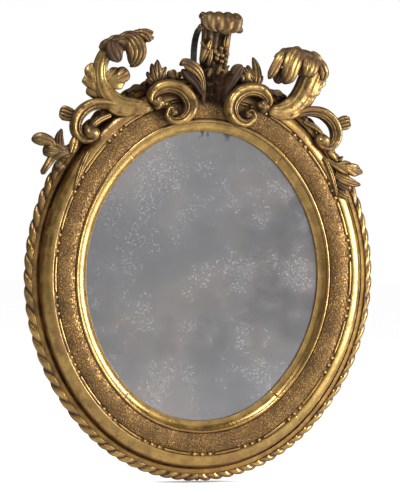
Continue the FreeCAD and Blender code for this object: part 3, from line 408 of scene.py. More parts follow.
class Shape:
    """Closed skin through rings of points, with values for the soiling and painted shade of its hollows and
    for how brown it has gone.
    """

    def __init__(self, rings, hollow, age=0.0):
        self.count, self.around = rings.shape[:2]
        self.points = rings.reshape(-1, 3)
        self.hollow = np.broadcast_to(hollow, rings.shape[:2]).reshape(-1)
        self.age = np.broadcast_to(age, rings.shape[:2]).reshape(-1)

    def faces(self, start):
        """Quads between the rings and a cap at each end."""
        first = start + np.arange(self.count - 1)[:, None] * self.around
        step = np.arange(self.around)
        after = np.roll(step, -1)
        quads = np.stack(
            [first + step, first + after, first + self.around + after, first + self.around + step], axis=-1
        )
        low_cap = [start + index for index in reversed(range(self.around))]
        high_cap = [start + (self.count - 1) * self.around + index for index in range(self.around)]
        return quads.reshape(-1, 4).tolist() + [low_cap, high_cap]


def piece(name, shapes, material, slot, *nodes):
    """Object of the frame made of one or more skins; it stands for CAD nodes."""
    points = np.concatenate([shape.points for shape in shapes])
    faces = []
    start = 0
    for shape in shapes:
        faces += shape.faces(start)
        start += len(shape.points)
    mesh = bpy.data.meshes.new(name)
    mesh.from_pydata((points * MM).tolist(), [], faces)
    # Soiling and painted shade, and browning, kept at each point of the mesh
    for key in ("hollow", "age"):
        values = np.concatenate([getattr(shape, key) for shape in shapes])
        attribute = mesh.attributes.new(key, "FLOAT", "POINT")
        attribute.data.foreach_set("value", values.astype(np.float32))
    mesh.polygons.foreach_set("use_smooth", np.ones(len(mesh.polygons), bool))
    mesh.materials.append(material)
    result = bpy.data.objects.new(name, mesh)
    bpy.context.scene.collection.objects.link(result)
    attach(result, "frame")
    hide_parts(*nodes)
    return result


def carving(node, *shapes, material=GILT_CARVING, slot="gilt_carving"):
    """Carved piece that stands for one CAD node."""
    piece(f"{node}_carved", shapes, material, slot, node)


# Mouldings


def bow(start, end, rise, count):
    """Points of a curved stretch of a profile, from its chord and its rise."""
    start, end = np.array(start, float), np.array(end, float)
    share = np.linspace(0, 1, count)[:, None]
    chord = end - start
    normal = np.array((-chord[1], chord[0])) / np.linalg.norm(chord)
    return start + chord * share + normal * 4 * rise * share * (1 - share)


def sweep(profile, angles, hollow):
    """Profile of offsets and depths, carried along the oval."""
    return Shape(oval(np.asarray(angles)[:, None], profile[..., 0], profile[..., 1]), hollow)


# Offsets of the mouldings' edges from the sight edge
COVE_EDGE = 17
SLIP_EDGE = 25
FRIEZE_EDGE = 62
LEDGE_EDGE = 69
OVOLO_EDGE = 93
# Depths forward of the wall
BASE_FRONT = 26
LIP_FRONT = 29
COVE_FRONT = 35
BEAD_FRONT = 38
FRIEZE_INNER_FRONT = 39
FRIEZE_OUTER_FRONT = 43
LEDGE_FRONT = 40.2
OVOLO_FRONT = 45
# Width of a softened edge, and of the gap between two mouldings
EASED = 0.4
JOINT = 0.2
# Rise of each curved face from its chord
COVE_RISE = -2
BEAD_RISE = 3
FRIEZE_RISE = 4
OVOLO_RISE = 6.3
# Points on each face
COVE_STEPS = 14
BEAD_STEPS = 9
FRIEZE_STEPS = 27
OVOLO_STEPS = 18
LEDGE_POINTS = 5
FRONT_PROFILE = np.concatenate(
    [
        ((SLIP_EDGE + JOINT, BASE_FRONT),),
        bow(
            (SLIP_EDGE + JOINT, FRIEZE_INNER_FRONT),
            (FRIEZE_EDGE - EASED, FRIEZE_OUTER_FRONT),
            FRIEZE_RISE,
            FRIEZE_STEPS,
        ),
        (
            (FRIEZE_EDGE, FRIEZE_OUTER_FRONT - 2 * EASED),
            (FRIEZE_EDGE, LEDGE_FRONT),
            ((FRIEZE_EDGE + LEDGE_EDGE) / 2, LEDGE_FRONT - 0.3),
            (LEDGE_EDGE, LEDGE_FRONT),
            (LEDGE_EDGE, OVOLO_FRONT - 1),
        ),
        bow((LEDGE_EDGE + 0.6, OVOLO_FRONT), (OVOLO_EDGE, BASE_FRONT + EASED), OVOLO_RISE, OVOLO_STEPS),
        ((OVOLO_EDGE, BASE_FRONT),),
    ]
)
SLIP_PROFILE = np.concatenate(
    [
        ((0, BASE_FRONT),),
        bow((EASED, LIP_FRONT), (COVE_EDGE - EASED, COVE_FRONT - JOINT), COVE_RISE, COVE_STEPS),
        ((COVE_EDGE, COVE_FRONT), (COVE_EDGE, BEAD_FRONT - 2 * EASED)),
        bow((COVE_EDGE + EASED, BEAD_FRONT), (SLIP_EDGE - EASED, BEAD_FRONT), BEAD_RISE, BEAD_STEPS),
        ((SLIP_EDGE, BEAD_FRONT - 0.6), (SLIP_EDGE, BASE_FRONT)),
    ]
)
QUARTERS = {"top": -45, "right": 45, "bottom": 135, "left": 225}
ANGLE_STEPS = 380
# How strongly chance sinks the punch marks, and the share of the frieze that it leaves smooth
PUNCH_DEPTH = 0.7
UNPUNCHED_SHARE = 0.45


def punched(profile, count):
    """Profile repeated along the oval, with the punch marks of the frieze."""
    rows = np.repeat(profile[None], count, axis=0)
    marks = RANDOM.random((count, FRIEZE_STEPS - 4))
    rows[:, 3 : FRIEZE_STEPS - 1, 1] -= PUNCH_DEPTH * np.clip(marks - UNPUNCHED_SHARE, 0, 1)
    return rows


def waves(angles, height):
    """Slow unevenness of hand work."""
    return height * (np.sin(np.radians(angles * 7)) + 0.6 * np.sin(np.radians(angles * 17 + 40)))


def front_moulding(side, first):
    """One length of the front moulding: punched frieze, ledge and burnished ovolo."""
    angles = np.linspace(first, first + 90, ANGLE_STEPS)
    rows = punched(FRONT_PROFILE, ANGLE_STEPS)
    rows[:, 1:-1, 1] += waves(angles, 0.12)[:, None]
    # Painted shade, with some soiling, down the ledge between frieze and ovolo and at the inner and outer
    # edges
    hollow = np.zeros(len(FRONT_PROFILE))
    ledge = 1 + FRIEZE_STEPS
    hollow[ledge : ledge + LEDGE_POINTS + 1] = (0.1, 0.25, 0.3, 0.8, 0.9, 0.4)
    hollow[1] = hollow[-2] = 0.8
    name = f"front_moulding_{side}"
    result = piece(f"{name}_gilt", [sweep(rows, angles, hollow)], GILT_MOULDING, "gilt_moulding", name)
    result.data.materials.append(GILT_FRIEZE)
    result.data.materials.append(GILT_LEDGE)
    around = len(FRONT_PROFILE)
    column = np.arange((ANGLE_STEPS - 1) * around) % around
    on_frieze = (column >= 1) & (column < FRIEZE_STEPS)
    on_ledge = (column >= FRIEZE_STEPS) & (column <= FRIEZE_STEPS + LEDGE_POINTS)
    indices = np.concatenate([on_frieze + 2 * on_ledge, (0, 0)]).astype(np.int32)
    result.data.polygons.foreach_set("material_index", indices)


def sight_slip(side, first):
    """One length of the sight moulding."""
    angles = np.linspace(first, first + 90, ANGLE_STEPS // 2)
    rows = np.repeat(SLIP_PROFILE[None], len(angles), axis=0)
    rows[:, 1:-1, 1] += waves(angles + 11, 0.1)[:, None]
    # Painted shade, with some soiling, on the lip by the glass, in the quirk between cove and bead and at the
    # outer edge
    hollow = np.zeros(len(SLIP_PROFILE))
    hollow[:2] = 1.0
    quirk = 1 + COVE_STEPS
    hollow[quirk : quirk + 3] = (0.5, 1.0, 0.6)
    hollow[-2:] = 0.9
    name = f"sight_slip_{side}"
    piece(f"{name}_gilt", [sweep(rows, angles, hollow)], GILT_SLIP, "gilt_moulding", name)


for side, first in QUARTERS.items():
    front_moulding(side, first)
    sight_slip(side, first)

# Ribbon twist: turns in each half, rings in a turn, depth of its grooves, and how far round it one turn leads
TWIST_TURNS = 42
TWIST_STEPS = 18
TWIST_DEPTH = 5.0
TWIST_WRAP = 34
# Offsets and depths of the twist's profile
TWIST_MIDDLE = (109.5, 14)
TWIST_INNER = 107.2
TWIST_OUTER = 114.4
TWIST_FOOT = 112
TWIST_BACK = 4
TWIST_FRONT = 24
TWIST_NOSE = 7.6
TWIST_EASED = 0.8
TWIST_NOSE_STEPS = 18
TWIST_PROFILE = np.concatenate(
    [
        ((TWIST_INNER, TWIST_BACK), (TWIST_INNER, TWIST_FRONT - TWIST_EASED)),
        bow((TWIST_INNER + TWIST_EASED, TWIST_FRONT), (TWIST_OUTER - EASED, TWIST_FRONT), 0, 4),
        bow((TWIST_OUTER, TWIST_FRONT - 0.1), (TWIST_OUTER, TWIST_BACK + 0.1), TWIST_NOSE, TWIST_NOSE_STEPS),
        ((TWIST_FOOT, TWIST_BACK),),
    ]
)


def twist_edge(side):
    """Half of the ribbon-twist edge; the two halves wind opposite ways."""
    count = TWIST_TURNS * TWIST_STEPS
    along = np.linspace(0, 1, count)
    angles = SIDES[side] * 180 * along
    steps = np.linalg.norm(np.diff(TWIST_PROFILE, axis=0), axis=1)
    wrap = np.concatenate([(0,), np.cumsum(steps)]) / TWIST_WRAP
    phase = TWIST_TURNS * along[:, None] + wrap[None]
    swell = np.abs(np.sin(np.pi * (phase % 1) ** 0.65)) ** 0.7
    visible = np.ones(len(TWIST_PROFILE))
    visible[[0, 1, -1]] = 0
    sink = (1 - swell) * TWIST_DEPTH * visible
    rows = np.repeat(TWIST_PROFILE[None], count, axis=0)
    rows -= sink[..., None] * unit(TWIST_PROFILE - np.array(TWIST_MIDDLE))
    # Grooves between the turns get soiling and painted shade
    hollow = np.clip(1.2 * (1 - swell) - 0.1, 0, 1)
    carving(f"twist_edge_{side}", sweep(rows, angles, hollow), material=GILT_MOULDING, slot="gilt_moulding")


for side in SIDES:
    twist_edge(side)


# Carving: leaves and scrolls along drawn lines on the oval


def smooth(rows, count):
    """Evenly spaced rows on a smooth line through stations; angle, offset and depth become X, Y and Z."""
    rows = np.array(rows, float)
    points = oval(rows[:, 0], rows[:, 1], rows[:, 2])
    values = np.hstack([points, rows[:, 3:]])
    knots = np.concatenate([(0,), np.cumsum(np.linalg.norm(np.diff(points, axis=0), axis=1))])
    slopes = np.gradient(values, knots, axis=0)
    where = np.linspace(0, knots[-1], count)
    index = np.clip(np.searchsorted(knots, where, side="right") - 1, 0, len(knots) - 2)
    span = (knots[index + 1] - knots[index])[:, None]
    share = (where - knots[index])[:, None] / span
    square, cube = share**2, share**3
    return (
        (2 * cube - 3 * square + 1) * values[index]
        + (cube - 2 * square + share) * span * slopes[index]
        + (3 * square - 2 * cube) * values[index + 1]
        + (cube - square) * span * slopes[index + 1]
    )


def flutes(count, sharp=0.7):
    """Even flutes across the width."""

    def crest(share, face):
        return np.abs(np.sin(np.pi * count * (face + 1) / 2)) ** sharp + 0 * share

    return crest


def reeds(*edges):
    """Reeds of chosen widths, given by their edges from -1 to 1 across the width."""

    def crest(share, face):
        return np.abs(np.sin(np.pi * np.interp(face, edges, range(len(edges))))) ** 0.6 + 0 * share

    return crest


def fingers(count, slant=0.9, first=0.0):
    """Ribbed fingers of a leaf, which run forward from its rib to its edges."""

    def crest(share, face):
        side = np.abs(face)
        turn = np.pi * (count * share - slant * side + first)
        ridge = np.abs(np.sin(turn)) ** 0.6 * (0.86 + 0.14 * np.abs(np.cos(2 * turn)))
        vein = 1 - 0.5 * np.exp(-(((side - 0.12) / 0.08) ** 2))
        return (1 - (1 - ridge) * np.clip(side / 0.35, 0, 1)) * vein

    return crest


# Carving: points across the face, least width and height, and the share of the length where tips start
FACE_STEPS = 37
LEAST_WIDTH = 0.4
FRINGE_START = 0.7


def directions(middle, across):
    """Ways along a line, sideways and outward; sideways is near a given way, or else outward is forward."""
    along = unit(np.gradient(middle, axis=0))
    if across is None:
        outward = unit(FORWARD - along * (along @ FORWARD)[:, None])
        return along, np.cross(along, outward), outward
    sideways = unit(across - along * (along @ across)[:, None])
    return along, sideways, np.cross(sideways, along)


def carve(
    rows, crest, depth=0.4, notch=0.0, fringe=0.0, across=None, square=2.0, ends=0.06, mirror=1, slope=0.0,
    age=0.0, grime_and_shade=0.0, back_depth=0.0, steps=14,
):
    """Carved leaf or scroll; rows are angle, offset, depth, left and right width, front and back height.

    crest gives the relief; depth, notch and back_depth are its shares of the front, the width and the back.
    fringe is the length of the tips at the end. age browns the gilding, and grime adds soiling and painted
    shade to it.
    """
    if mirror < 0:
        rows = [
            (-angle, offset, forward, right, left, front, back)
            for angle, offset, forward, left, right, front, back in rows
        ]
    count = steps * (len(rows) - 1) + 1
    line = smooth(rows, count)
    middle = line[:, :3]
    left, right, front, back = np.maximum(line[:, 3:], LEAST_WIDTH).T
    along, sideways, outward = directions(middle, across)
    share = np.linspace(0, 1, count)[:, None]
    face = -np.cos(np.linspace(0, np.pi, FACE_STEPS))[None]
    relief = crest(share, face * mirror)
    to_end = np.clip(np.minimum(share, 1 - share) / ends, 0, 1)
    taper = np.sqrt(np.maximum(1 - (1 - to_end) ** 2, 0.004))
    body = np.maximum(1 - np.abs(face) ** square, 0) ** (1 / square)
    width = np.where(face < 0, left[:, None], right[:, None])
    place = width * face * (1 - notch * (1 - relief) * np.abs(face) ** 1.5) * taper
    tilt = 1 + slope * mirror * face
    lift = front[:, None] * body * tilt * (1 - depth * (1 - relief)) * taper
    drop = -back[:, None] * body * (1 - back_depth * (1 - relief)) * taper
    reach = -fringe * (1 - relief) * np.clip((share - FRINGE_START) / (1 - FRINGE_START), 0, 1) ** 2
    behind = slice(-2, 0, -1)
    place, height, reach = (
        np.concatenate([first, second[:, behind]], axis=1)
        for first, second in ((place, place), (lift, drop), (reach, reach))
    )
    ways = ((sideways, place), (outward, height), (along, reach))
    rings = middle[:, None] + sum(way[:, None] * amount[..., None] for way, amount in ways)
    # Soiling and painted shade in the valleys of the relief and on the back; grime adds to it all over the
    # front
    hollow = np.clip(1.5 * depth * (1 - relief) + grime_and_shade, 0, 1)
    hollow_back = np.clip(1.5 * back_depth * (1 - relief) + (0.5 if back_depth == 0 else 0), 0, 1)
    brown = np.interp(share, np.linspace(0, 1, np.size(age)), np.atleast_1d(age))
    return Shape(rings, np.concatenate([hollow, hollow_back[:, behind]], axis=1), brown)


# Rings and points of a ball, and the angle left at each pole
BALL_RINGS = 20
BALL_STEPS = 36
POLE_GAP = 0.02


def ball(angle, offset, forward, radius, lobes=0, age=0.0):
    """Carved ball or bud, lightly lobed."""
    pole = np.linspace(POLE_GAP, np.pi - POLE_GAP, BALL_RINGS)[:, None]
    turn = np.linspace(0, 2 * np.pi, BALL_STEPS, endpoint=False)[None]
    wave = np.sin(lobes * turn + 2 * pole) * np.sin(pole)
    swell = radius * (1 + 0.07 * wave)
    points = np.stack(
        [
            swell * np.sin(pole) * np.cos(turn),
            -swell * np.cos(pole) + 0 * turn,
            swell * np.sin(pole) * np.sin(turn),
        ],
        axis=-1,
    )
    # Valleys between the lobes get soiling and painted shade
    hollow = np.clip(0.3 - 0.5 * wave, 0, 1)
    return Shape(points + oval(angle, offset, forward), hollow, age)


# Height of the back of a lobe
LOBE_BACK = 5


def lobe(*line, widths, height=8, ribs=2, depth=0.4, fringe=5, mirror=1, age=0.35, grime_and_shade=0.0):
    """Lobe of a leaf through a few points, with ribs that end in rounded tips."""
    rows = [(*point, width, width, height, LOBE_BACK) for point, width in zip(line, widths)]
    look = {"age": age, "grime_and_shade": grime_and_shade, "back_depth": 0.2}
    return carve(rows, flutes(ribs, 0.5), depth, fringe=fringe, ends=0.14, mirror=mirror, **look)


# C-scrolls and their balls
SCROLL_REEDS = reeds(-1, -0.62, -0.22, 1)
C_SCROLL = (
    (24.4, 72, 48, 5, 5, 12, 6),
    (24.2, 87, 47, 9, 9, 15, 14),
    (20.8, 98, 46, 12, 13, 18, 20),
    (16.4, 97, 46, 13.5, 14, 20, 20),
    (12.6, 86, 46, 14, 15, 21, 14),
    (10.2, 70, 46, 14.5, 15.5, 22, 4),
    (9.4, 53, 46, 14, 15.5, 22, 1),
    (11.2, 36, 47, 12, 13, 20, 1),
    (15.4, 27.5, 48, 9, 10, 17, 1),
    (19.2, 33, 48, 7, 8, 15, 1),
    (20.6, 46, 49, 6, 7, 14, 1),
    (18.6, 54, 51, 5, 6, 13, 1),
    (16.8, 48.5, 54, 3.5, 5, 12, 1),
)
for side, sign in SIDES.items():
    scroll = carve(C_SCROLL, SCROLL_REEDS, depth=0.3, square=3.5, mirror=sign, slope=0.2)
    eye = ball(sign * 17.8, 46, 56, 8, lobes=3, age=0.4)
    carving(f"c_scroll_{side}", scroll, eye)
    bud = ball(sign * 22.8, 73, 55, 13, lobes=4, age=0.3)
    carving(f"scroll_ball_{side}", bud)

# Outer scrolls, their balls and ribbed caps
OUTER_REEDS = reeds(-1, 0.22, 0.62, 1)
OUTER_SCROLL = (
    (36.5, 98, 38, 7, 7, 10, 14),
    (39.6, 121, 38, 10, 10, 14, 13),
    (44.3, 140, 38, 12, 12, 16, 13),
    (48.8, 141, 38, 12, 12, 16, 13),
    (51.4, 127, 38, 11, 11, 15, 12),
    (52.0, 108, 39, 9, 9, 14, 12),
    (50.6, 95, 40, 7, 7, 13, 10),
    (48.3, 93, 42, 5, 5, 12, 8),
    (47.2, 102, 45, 3, 4, 10, 6),
)
CAP = (
    (48.8, 146, 34, 10, 10, 8, 8),
    (49.5, 158, 34, 14, 14, 9, 8),
    (50.1, 169, 33, 14, 14, 9, 8),
    (50.5, 175, 32, 10, 10, 6, 6),
)
for side, sign in SIDES.items():
    scroll = carve(OUTER_SCROLL, OUTER_REEDS, depth=0.35, square=3.5, mirror=sign, slope=-0.2, age=0.15)
    bar = lobe((40.6, 99, 38), (45.1, 107, 43), (48.4, 110, 43), widths=(5, 6, 4), mirror=sign, age=0.1)
    carving(f"outer_scroll_{side}", scroll, bar)
    bud = ball(sign * 49.4, 101, 45, 15, lobes=2, age=0.2)
    carving(f"outer_ball_{side}", bud)
    cap = carve(CAP, flutes(4), depth=0.4, square=3.5, mirror=sign, age=0.45, back_depth=0.3, fringe=3)
    carving(f"scroll_cap_{side}", cap)

# Acanthus leaves: a reeded stem, curled lobes and the canopy over them
STEM_REEDS = reeds(-1, -0.75, -0.4, 0.25, 0.7, 1)
ACANTHUS_LEFT_STEM = (
    (-24.9, 69, 47, 9, 9, 6, 8),
    (-31.0, 83, 43, 17, 17, 10, 10),
    (-36.4, 107, 40, 22, 21, 12, 14),
    (-37.5, 143, 36, 19, 18, 13, 10),
    (-36.0, 171, 34, 15, 15, 12, 8),
    (-33.6, 193, 35, 14, 15, 12, 8),
    (-30.8, 206, 40, 13, 15, 12, 8),
    (-27.6, 208, 45, 14, 16, 12, 8),
    (-23.8, 206, 50, 13, 15, 11, 8),
    (-20.6, 204, 53, 9, 11, 9, 6),
    (-18.8, 203, 54, 4, 4, 5, 4),
)
ACANTHUS_LEFT_LOBES = (
    lobe(
        (-24.6, 215, 50), (-24.8, 199, 62), (-25.3, 181, 62), (-26.9, 165, 54),
        widths=(8, 12, 11, 5), age=1, grime_and_shade=0.4,
    ),
    lobe(
        (-28.4, 219, 49), (-29.2, 213, 62), (-29.8, 197, 68), (-29.6, 178, 60),
        widths=(8, 14, 18, 7), ribs=3, height=7, fringe=10, age=1, grime_and_shade=0.3,
    ),
    lobe(
        (-24.2, 218, 52), (-23.4, 200, 67), (-23.9, 179, 70), (-25.5, 165, 64), (-27.3, 160, 57),
        widths=(10, 18, 18, 12, 4), ribs=4, fringe=8, age=(0.9, 0.6, 0.3, 0.8, 1.0),
    ),
    lobe((-21.8, 216, 56), (-19.9, 207, 64), (-19.0, 191, 60), widths=(9, 10, 6), age=(0.2, 0.9)),
    lobe((-21.0, 215, 56), (-19.0, 211, 60), (-17.3, 206, 58), widths=(7, 7, 4), age=(0.3, 0.9)),
    lobe((-21.0, 214, 56), (-19.3, 204, 62), (-17.7, 195, 58), widths=(7, 7, 4), age=(0.3, 1.0)),
    lobe(
        (-28.0, 217, 50), (-30.4, 221, 52), (-31.8, 221, 46),
        widths=(9, 9, 6), ribs=1, fringe=0, age=1, grime_and_shade=0.3,
    ),
)
ACANTHUS_LEFT_CANOPY = (
    (-32.0, 214, 38, 8, 14, 10, 8),
    (-30.4, 219, 42, 9, 28, 14, 9),
    (-28.2, 221, 47, 9, 34, 16, 9),
    (-25.8, 219, 50, 9, 34, 17, 9),
    (-23.2, 217, 53, 9, 36, 17, 9),
    (-20.8, 213, 55, 9, 32, 15, 8),
    (-18.9, 209, 56, 8, 22, 11, 6),
    (-17.6, 206, 56, 5, 10, 6, 4),
)
ACANTHUS_RIGHT_STEM = (
    (25.6, 74, 47, 9, 9, 6, 8),
    (31.0, 84, 43, 18, 17, 10, 10),
    (34.4, 110, 40, 24, 23, 12, 14),
    (35.0, 144, 37, 26, 25, 13, 10),
    (34.2, 169, 36, 26, 25, 13, 8),
    (33.2, 192, 42, 24, 22, 13, 8),
    (31.4, 207, 49, 18, 18, 12, 8),
    (28.6, 209, 55, 12, 12, 8, 6),
)
ACANTHUS_RIGHT_LOBES = (
    lobe((24.8, 157, 58), (23.8, 141, 60), (23.6, 127, 55), widths=(12, 13, 8), ribs=4, age=1, grime_and_shade=0.35),
    lobe(
        (22.6, 199, 54), (21.4, 170, 66), (20.8, 145, 66), (20.4, 127, 60),
        widths=(9, 11, 10, 6), ribs=2, depth=0.3, age=(0.3, 0.0, 0.2, 0.9),
    ),
    lobe(
        (27.4, 208, 48), (25.4, 190, 68), (25.3, 166, 75), (25.9, 148, 71), (25.6, 132, 60),
        widths=(15, 19, 18, 16, 9), ribs=3, depth=0.3, age=(0.8, 0.6, 0.1, 0.5, 1.0),
    ),
    lobe(
        (30.6, 211, 46), (30.2, 200, 66), (30.8, 183, 74), (31.6, 168, 64),
        widths=(15, 17, 17, 12), ribs=3, depth=0.3, age=(0.8, 0.7, 0.2, 0.9),
    ),
    lobe((31.8, 213, 44), (34.0, 206, 52), (35.9, 198, 50), (36.8, 187, 44), widths=(10, 12, 11, 6), age=0.4),
)
ACANTHUS_RIGHT_CANOPY = (
    (35.6, 196, 40, 16, 9, 10, 8),
    (33.2, 206, 46, 34, 10, 14, 9),
    (30.4, 209, 50, 42, 10, 17, 9),
    (27.4, 206, 53, 46, 10, 18, 9),
    (24.6, 199, 55, 50, 10, 18, 9),
    (22.4, 190, 56, 44, 9, 15, 8),
    (21.0, 180, 57, 32, 7, 10, 6),
    (20.2, 170, 57, 16, 5, 5, 4),
)
CANOPY_STEPS = 24
STEM_DEPTH = 0.16
stem = carve(ACANTHUS_LEFT_STEM, STEM_REEDS, depth=STEM_DEPTH)
canopy = carve(
    ACANTHUS_LEFT_CANOPY,
    fingers(4, 0.8, 0.1),
    depth=0.45,
    notch=0.4,
    age=0.8,
    back_depth=0.3,
    steps=CANOPY_STEPS,
)
carving("acanthus_left", stem, canopy, *ACANTHUS_LEFT_LOBES)
stem = carve(ACANTHUS_RIGHT_STEM, STEM_REEDS, depth=STEM_DEPTH)
canopy = carve(
    ACANTHUS_RIGHT_CANOPY,
    fingers(3.5, 1.0),
    depth=0.25,
    notch=0.3,
    age=1,
    grime_and_shade=0.2,
    back_depth=0.3,
    steps=CANOPY_STEPS,
)
carving("acanthus_right", stem, canopy, *ACANTHUS_RIGHT_LOBES)

# Side leaves of the acanthus
INNER_LEAF = (
    (-37.4, 156, 30, 18, 22, 4, 5),
    (-35.2, 155, 35, 22, 25, 8, 6),
    (-32.0, 153, 38, 22, 25, 9, 6),
    (-29.4, 152, 36, 20, 20, 7, 5),
    (-27.2, 154, 33, 8, 8, 4, 4),
)
OUTER_LEAF_LEFT = (
    (-40.4, 126, 31, 8, 6, 4, 5),
    (-39.6, 144, 33, 20, 8, 8, 6),
    (-38.4, 164, 34, 26, 10, 9, 6),
    (-37.2, 182, 34, 24, 10, 9, 6),
    (-36.2, 196, 33, 14, 8, 7, 5),
    (-35.6, 203, 31, 5, 4, 4, 4),
)
OUTER_LEAF_RIGHT = (
    (36.4, 138, 32, 5, 6, 4, 5),
    (36.8, 156, 34, 8, 14, 8, 6),
    (36.8, 176, 34, 8, 15, 9, 6),
    (36.2, 196, 34, 8, 15, 9, 6),
    (35.4, 211, 33, 7, 12, 7, 5),
    (34.8, 221, 31, 3, 5, 4, 4),
)
leaf = carve(INNER_LEAF, fingers(2.4, 1.1, 0.3), depth=0.35, notch=0.4, age=(0.0, 0.1, 0.8), back_depth=0.3)
carving("side_leaf_left_inner", leaf)
leaf = carve(OUTER_LEAF_LEFT, fingers(3.6, 0.7), depth=0.35, notch=0.4, age=0.15)
carving("side_leaf_left_outer", leaf)
leaf = carve(OUTER_LEAF_RIGHT, fingers(4.0, 0.7), depth=0.35, notch=0.4, age=0.15)
carving("side_leaf_right_outer", leaf)

# End leaves of the crest
END_LEAF_BODY = (
    (-57.0, 110, 39, 9, 9, 7, 5),
    (-58.1, 130, 46, 16, 17, 9, 5),
    (-59.1, 144, 47, 17, 17, 9, 5),
    (-60.1, 160, 42, 8, 8, 6, 4),
)
END_LEAF_TIP = (
    (53.2, 80, 43, 4, 4, 6, 5),
    (57.1, 95, 46, 9, 9, 8, 5),
    (59.2, 113, 49, 15, 15, 9, 5),
    (61.0, 127, 45, 13, 13, 8, 5),
    (62.5, 141, 37, 4, 4, 5, 4),
)
END_LEAF_LEFT = (
    lobe((-52.7, 119, 40), (-55.0, 114, 44), (-57.0, 108, 41), widths=(7, 9, 6), ribs=2, fringe=2, age=0.0),
    carve(END_LEAF_BODY, fingers(2.6, 0.9), depth=0.5, notch=0.3, age=(0.7, 0.8, 0.3, 1.0), grime_and_shade=0.15),
    lobe(
        (-58.3, 138, 42), (-57.6, 160, 48), (-58.3, 176, 49), (-59.4, 189, 41),
        widths=(8, 11, 13, 7), ribs=2, depth=0.2, fringe=2, age=(1.0, 0.9, 0.5, 1.0), grime_and_shade=0.1,
    ),
    lobe(
        (-58.0, 130, 42), (-55.6, 146, 47), (-53.4, 153, 42),
        widths=(11, 9, 3), ribs=3, fringe=7, age=0.9, grime_and_shade=0.3,
    ),
    lobe(
        (-60.0, 136, 43), (-62.8, 138, 46), (-65.2, 139, 41),
        widths=(9, 7, 6), fringe=2, age=(0.5, 0.3, 1.0),
    ),
    ball(-61.3, 115, 42, 11, lobes=4, age=0.9),
)
END_LEAF_RIGHT = (
    lobe((52.3, 100, 41), (54.7, 101, 43), (56.6, 102, 42), widths=(7, 7, 5), ribs=1, fringe=0, age=0.0),
    carve(END_LEAF_TIP, fingers(3.2, 1.1), depth=0.45, notch=0.35, age=(0.3, 0.1, 0.1, 0.9)),
    lobe(
        (59.0, 83, 43), (61.8, 97, 48), (63.8, 112, 44), (65.1, 126, 38),
        widths=(6, 10, 8, 3), ribs=3, age=(0.4, 0.1, 0.3, 1.0),
    ),
    lobe((61.0, 80, 41), (63.0, 88, 44), (64.6, 98, 40), widths=(8, 9, 4), ribs=3, age=1, grime_and_shade=0.3),
    lobe((63.7, 73, 42), (65.5, 81, 45), (67.0, 91, 40), widths=(7, 7, 3), ribs=2, age=0.8),
    lobe((56.9, 105, 38), (56.5, 112, 37), (56.2, 119, 35), widths=(6, 5, 3), ribs=1, age=1),
)
carving("end_leaf_left", *END_LEAF_LEFT)
carving("end_leaf_right", *END_LEAF_RIGHT)

# Stems of the end leaves, leaves behind the acanthus and buds on the C-scrolls
END_STEM = (
    (53.5, 84, 44, 4, 4, 6, 12),
    (57.8, 79, 45, 5, 5, 7, 9),
    (62.0, 73, 46, 4, 4, 6, 6),
    (65.2, 67.5, 47, 2, 2, 4, 4),
)
BACK_LEAF = (
    (23.4, 107, 27.8, 7, 5, 3, 3),
    (27.0, 116, 27.8, 8, 7, 4, 3),
    (31.0, 118, 27.8, 4, 4, 3, 3),
)
for side, sign in SIDES.items():
    stem = carve(END_STEM, flutes(2), mirror=sign)
    carving(f"end_stem_{side}", stem)
    leaf = carve(BACK_LEAF, fingers(2.5), notch=0.4, mirror=sign, age=0.7)
    carving(f"back_leaf_{side}", leaf)
    plain = {"ribs": 1, "fringe": 0, "mirror": sign}
    buds = [
        lobe((13.7, 107, 37), (13.8, 119, 41), (13.9, 128, 40), widths=(9, 11, 8), **plain),
        lobe((12.2, 107, 37), (12.1, 114, 41), (11.8, 119, 39), widths=(6, 8, 5), **plain),
    ]
    carving(f"crest_bud_{side}", *buds)

# Leaf sprays on the C-scrolls
SPRAY_LEFT = (
    lobe((-19.3, 108, 36), (-18.4, 132, 40), (-17.4, 154, 37), widths=(10, 10, 3), age=(0.0, 1.0), grime_and_shade=0.1),
    lobe((-19.9, 108, 36), (-19.9, 131, 40), (-19.6, 150, 37), widths=(8, 8, 3), age=(0.0, 1.0), grime_and_shade=0.25),
    lobe((-20.4, 109, 36), (-21.4, 124, 39), (-22.1, 137, 36), widths=(8, 7, 3), age=(0.1, 1.0), grime_and_shade=0.25),
    lobe((-20.9, 108, 36), (-22.1, 117, 38), (-23.2, 124, 36), widths=(7, 6, 3), age=(0.1, 1.0), grime_and_shade=0.25),
    lobe((-18.7, 108, 36), (-17.3, 124, 40), (-15.2, 136, 37), widths=(8, 8, 3), age=(0.0, 1.0), grime_and_shade=0.2),
)
SPRAY_RIGHT = (
    lobe(
        (18.0, 106, 36), (17.3, 128, 41), (15.9, 145, 41), (14.1, 161, 37),
        widths=(9, 10, 8, 3), age=(0.0, 0.0, 0.9),
    ),
    lobe((17.2, 120, 38), (14.9, 130, 41), (12.9, 142, 38), widths=(6, 6, 4), age=(0.0, 0.9)),
    lobe((16.6, 115, 37), (13.8, 124, 41), (11.7, 136, 38), widths=(8, 9, 5), age=(0.0, 0.8)),
    lobe((18.6, 114, 37), (18.9, 123, 39), (18.9, 132, 37), widths=(6, 6, 3), age=(0.0, 0.9)),
)
carving("spray_left", *SPRAY_LEFT)
carving("spray_right", *SPRAY_RIGHT)

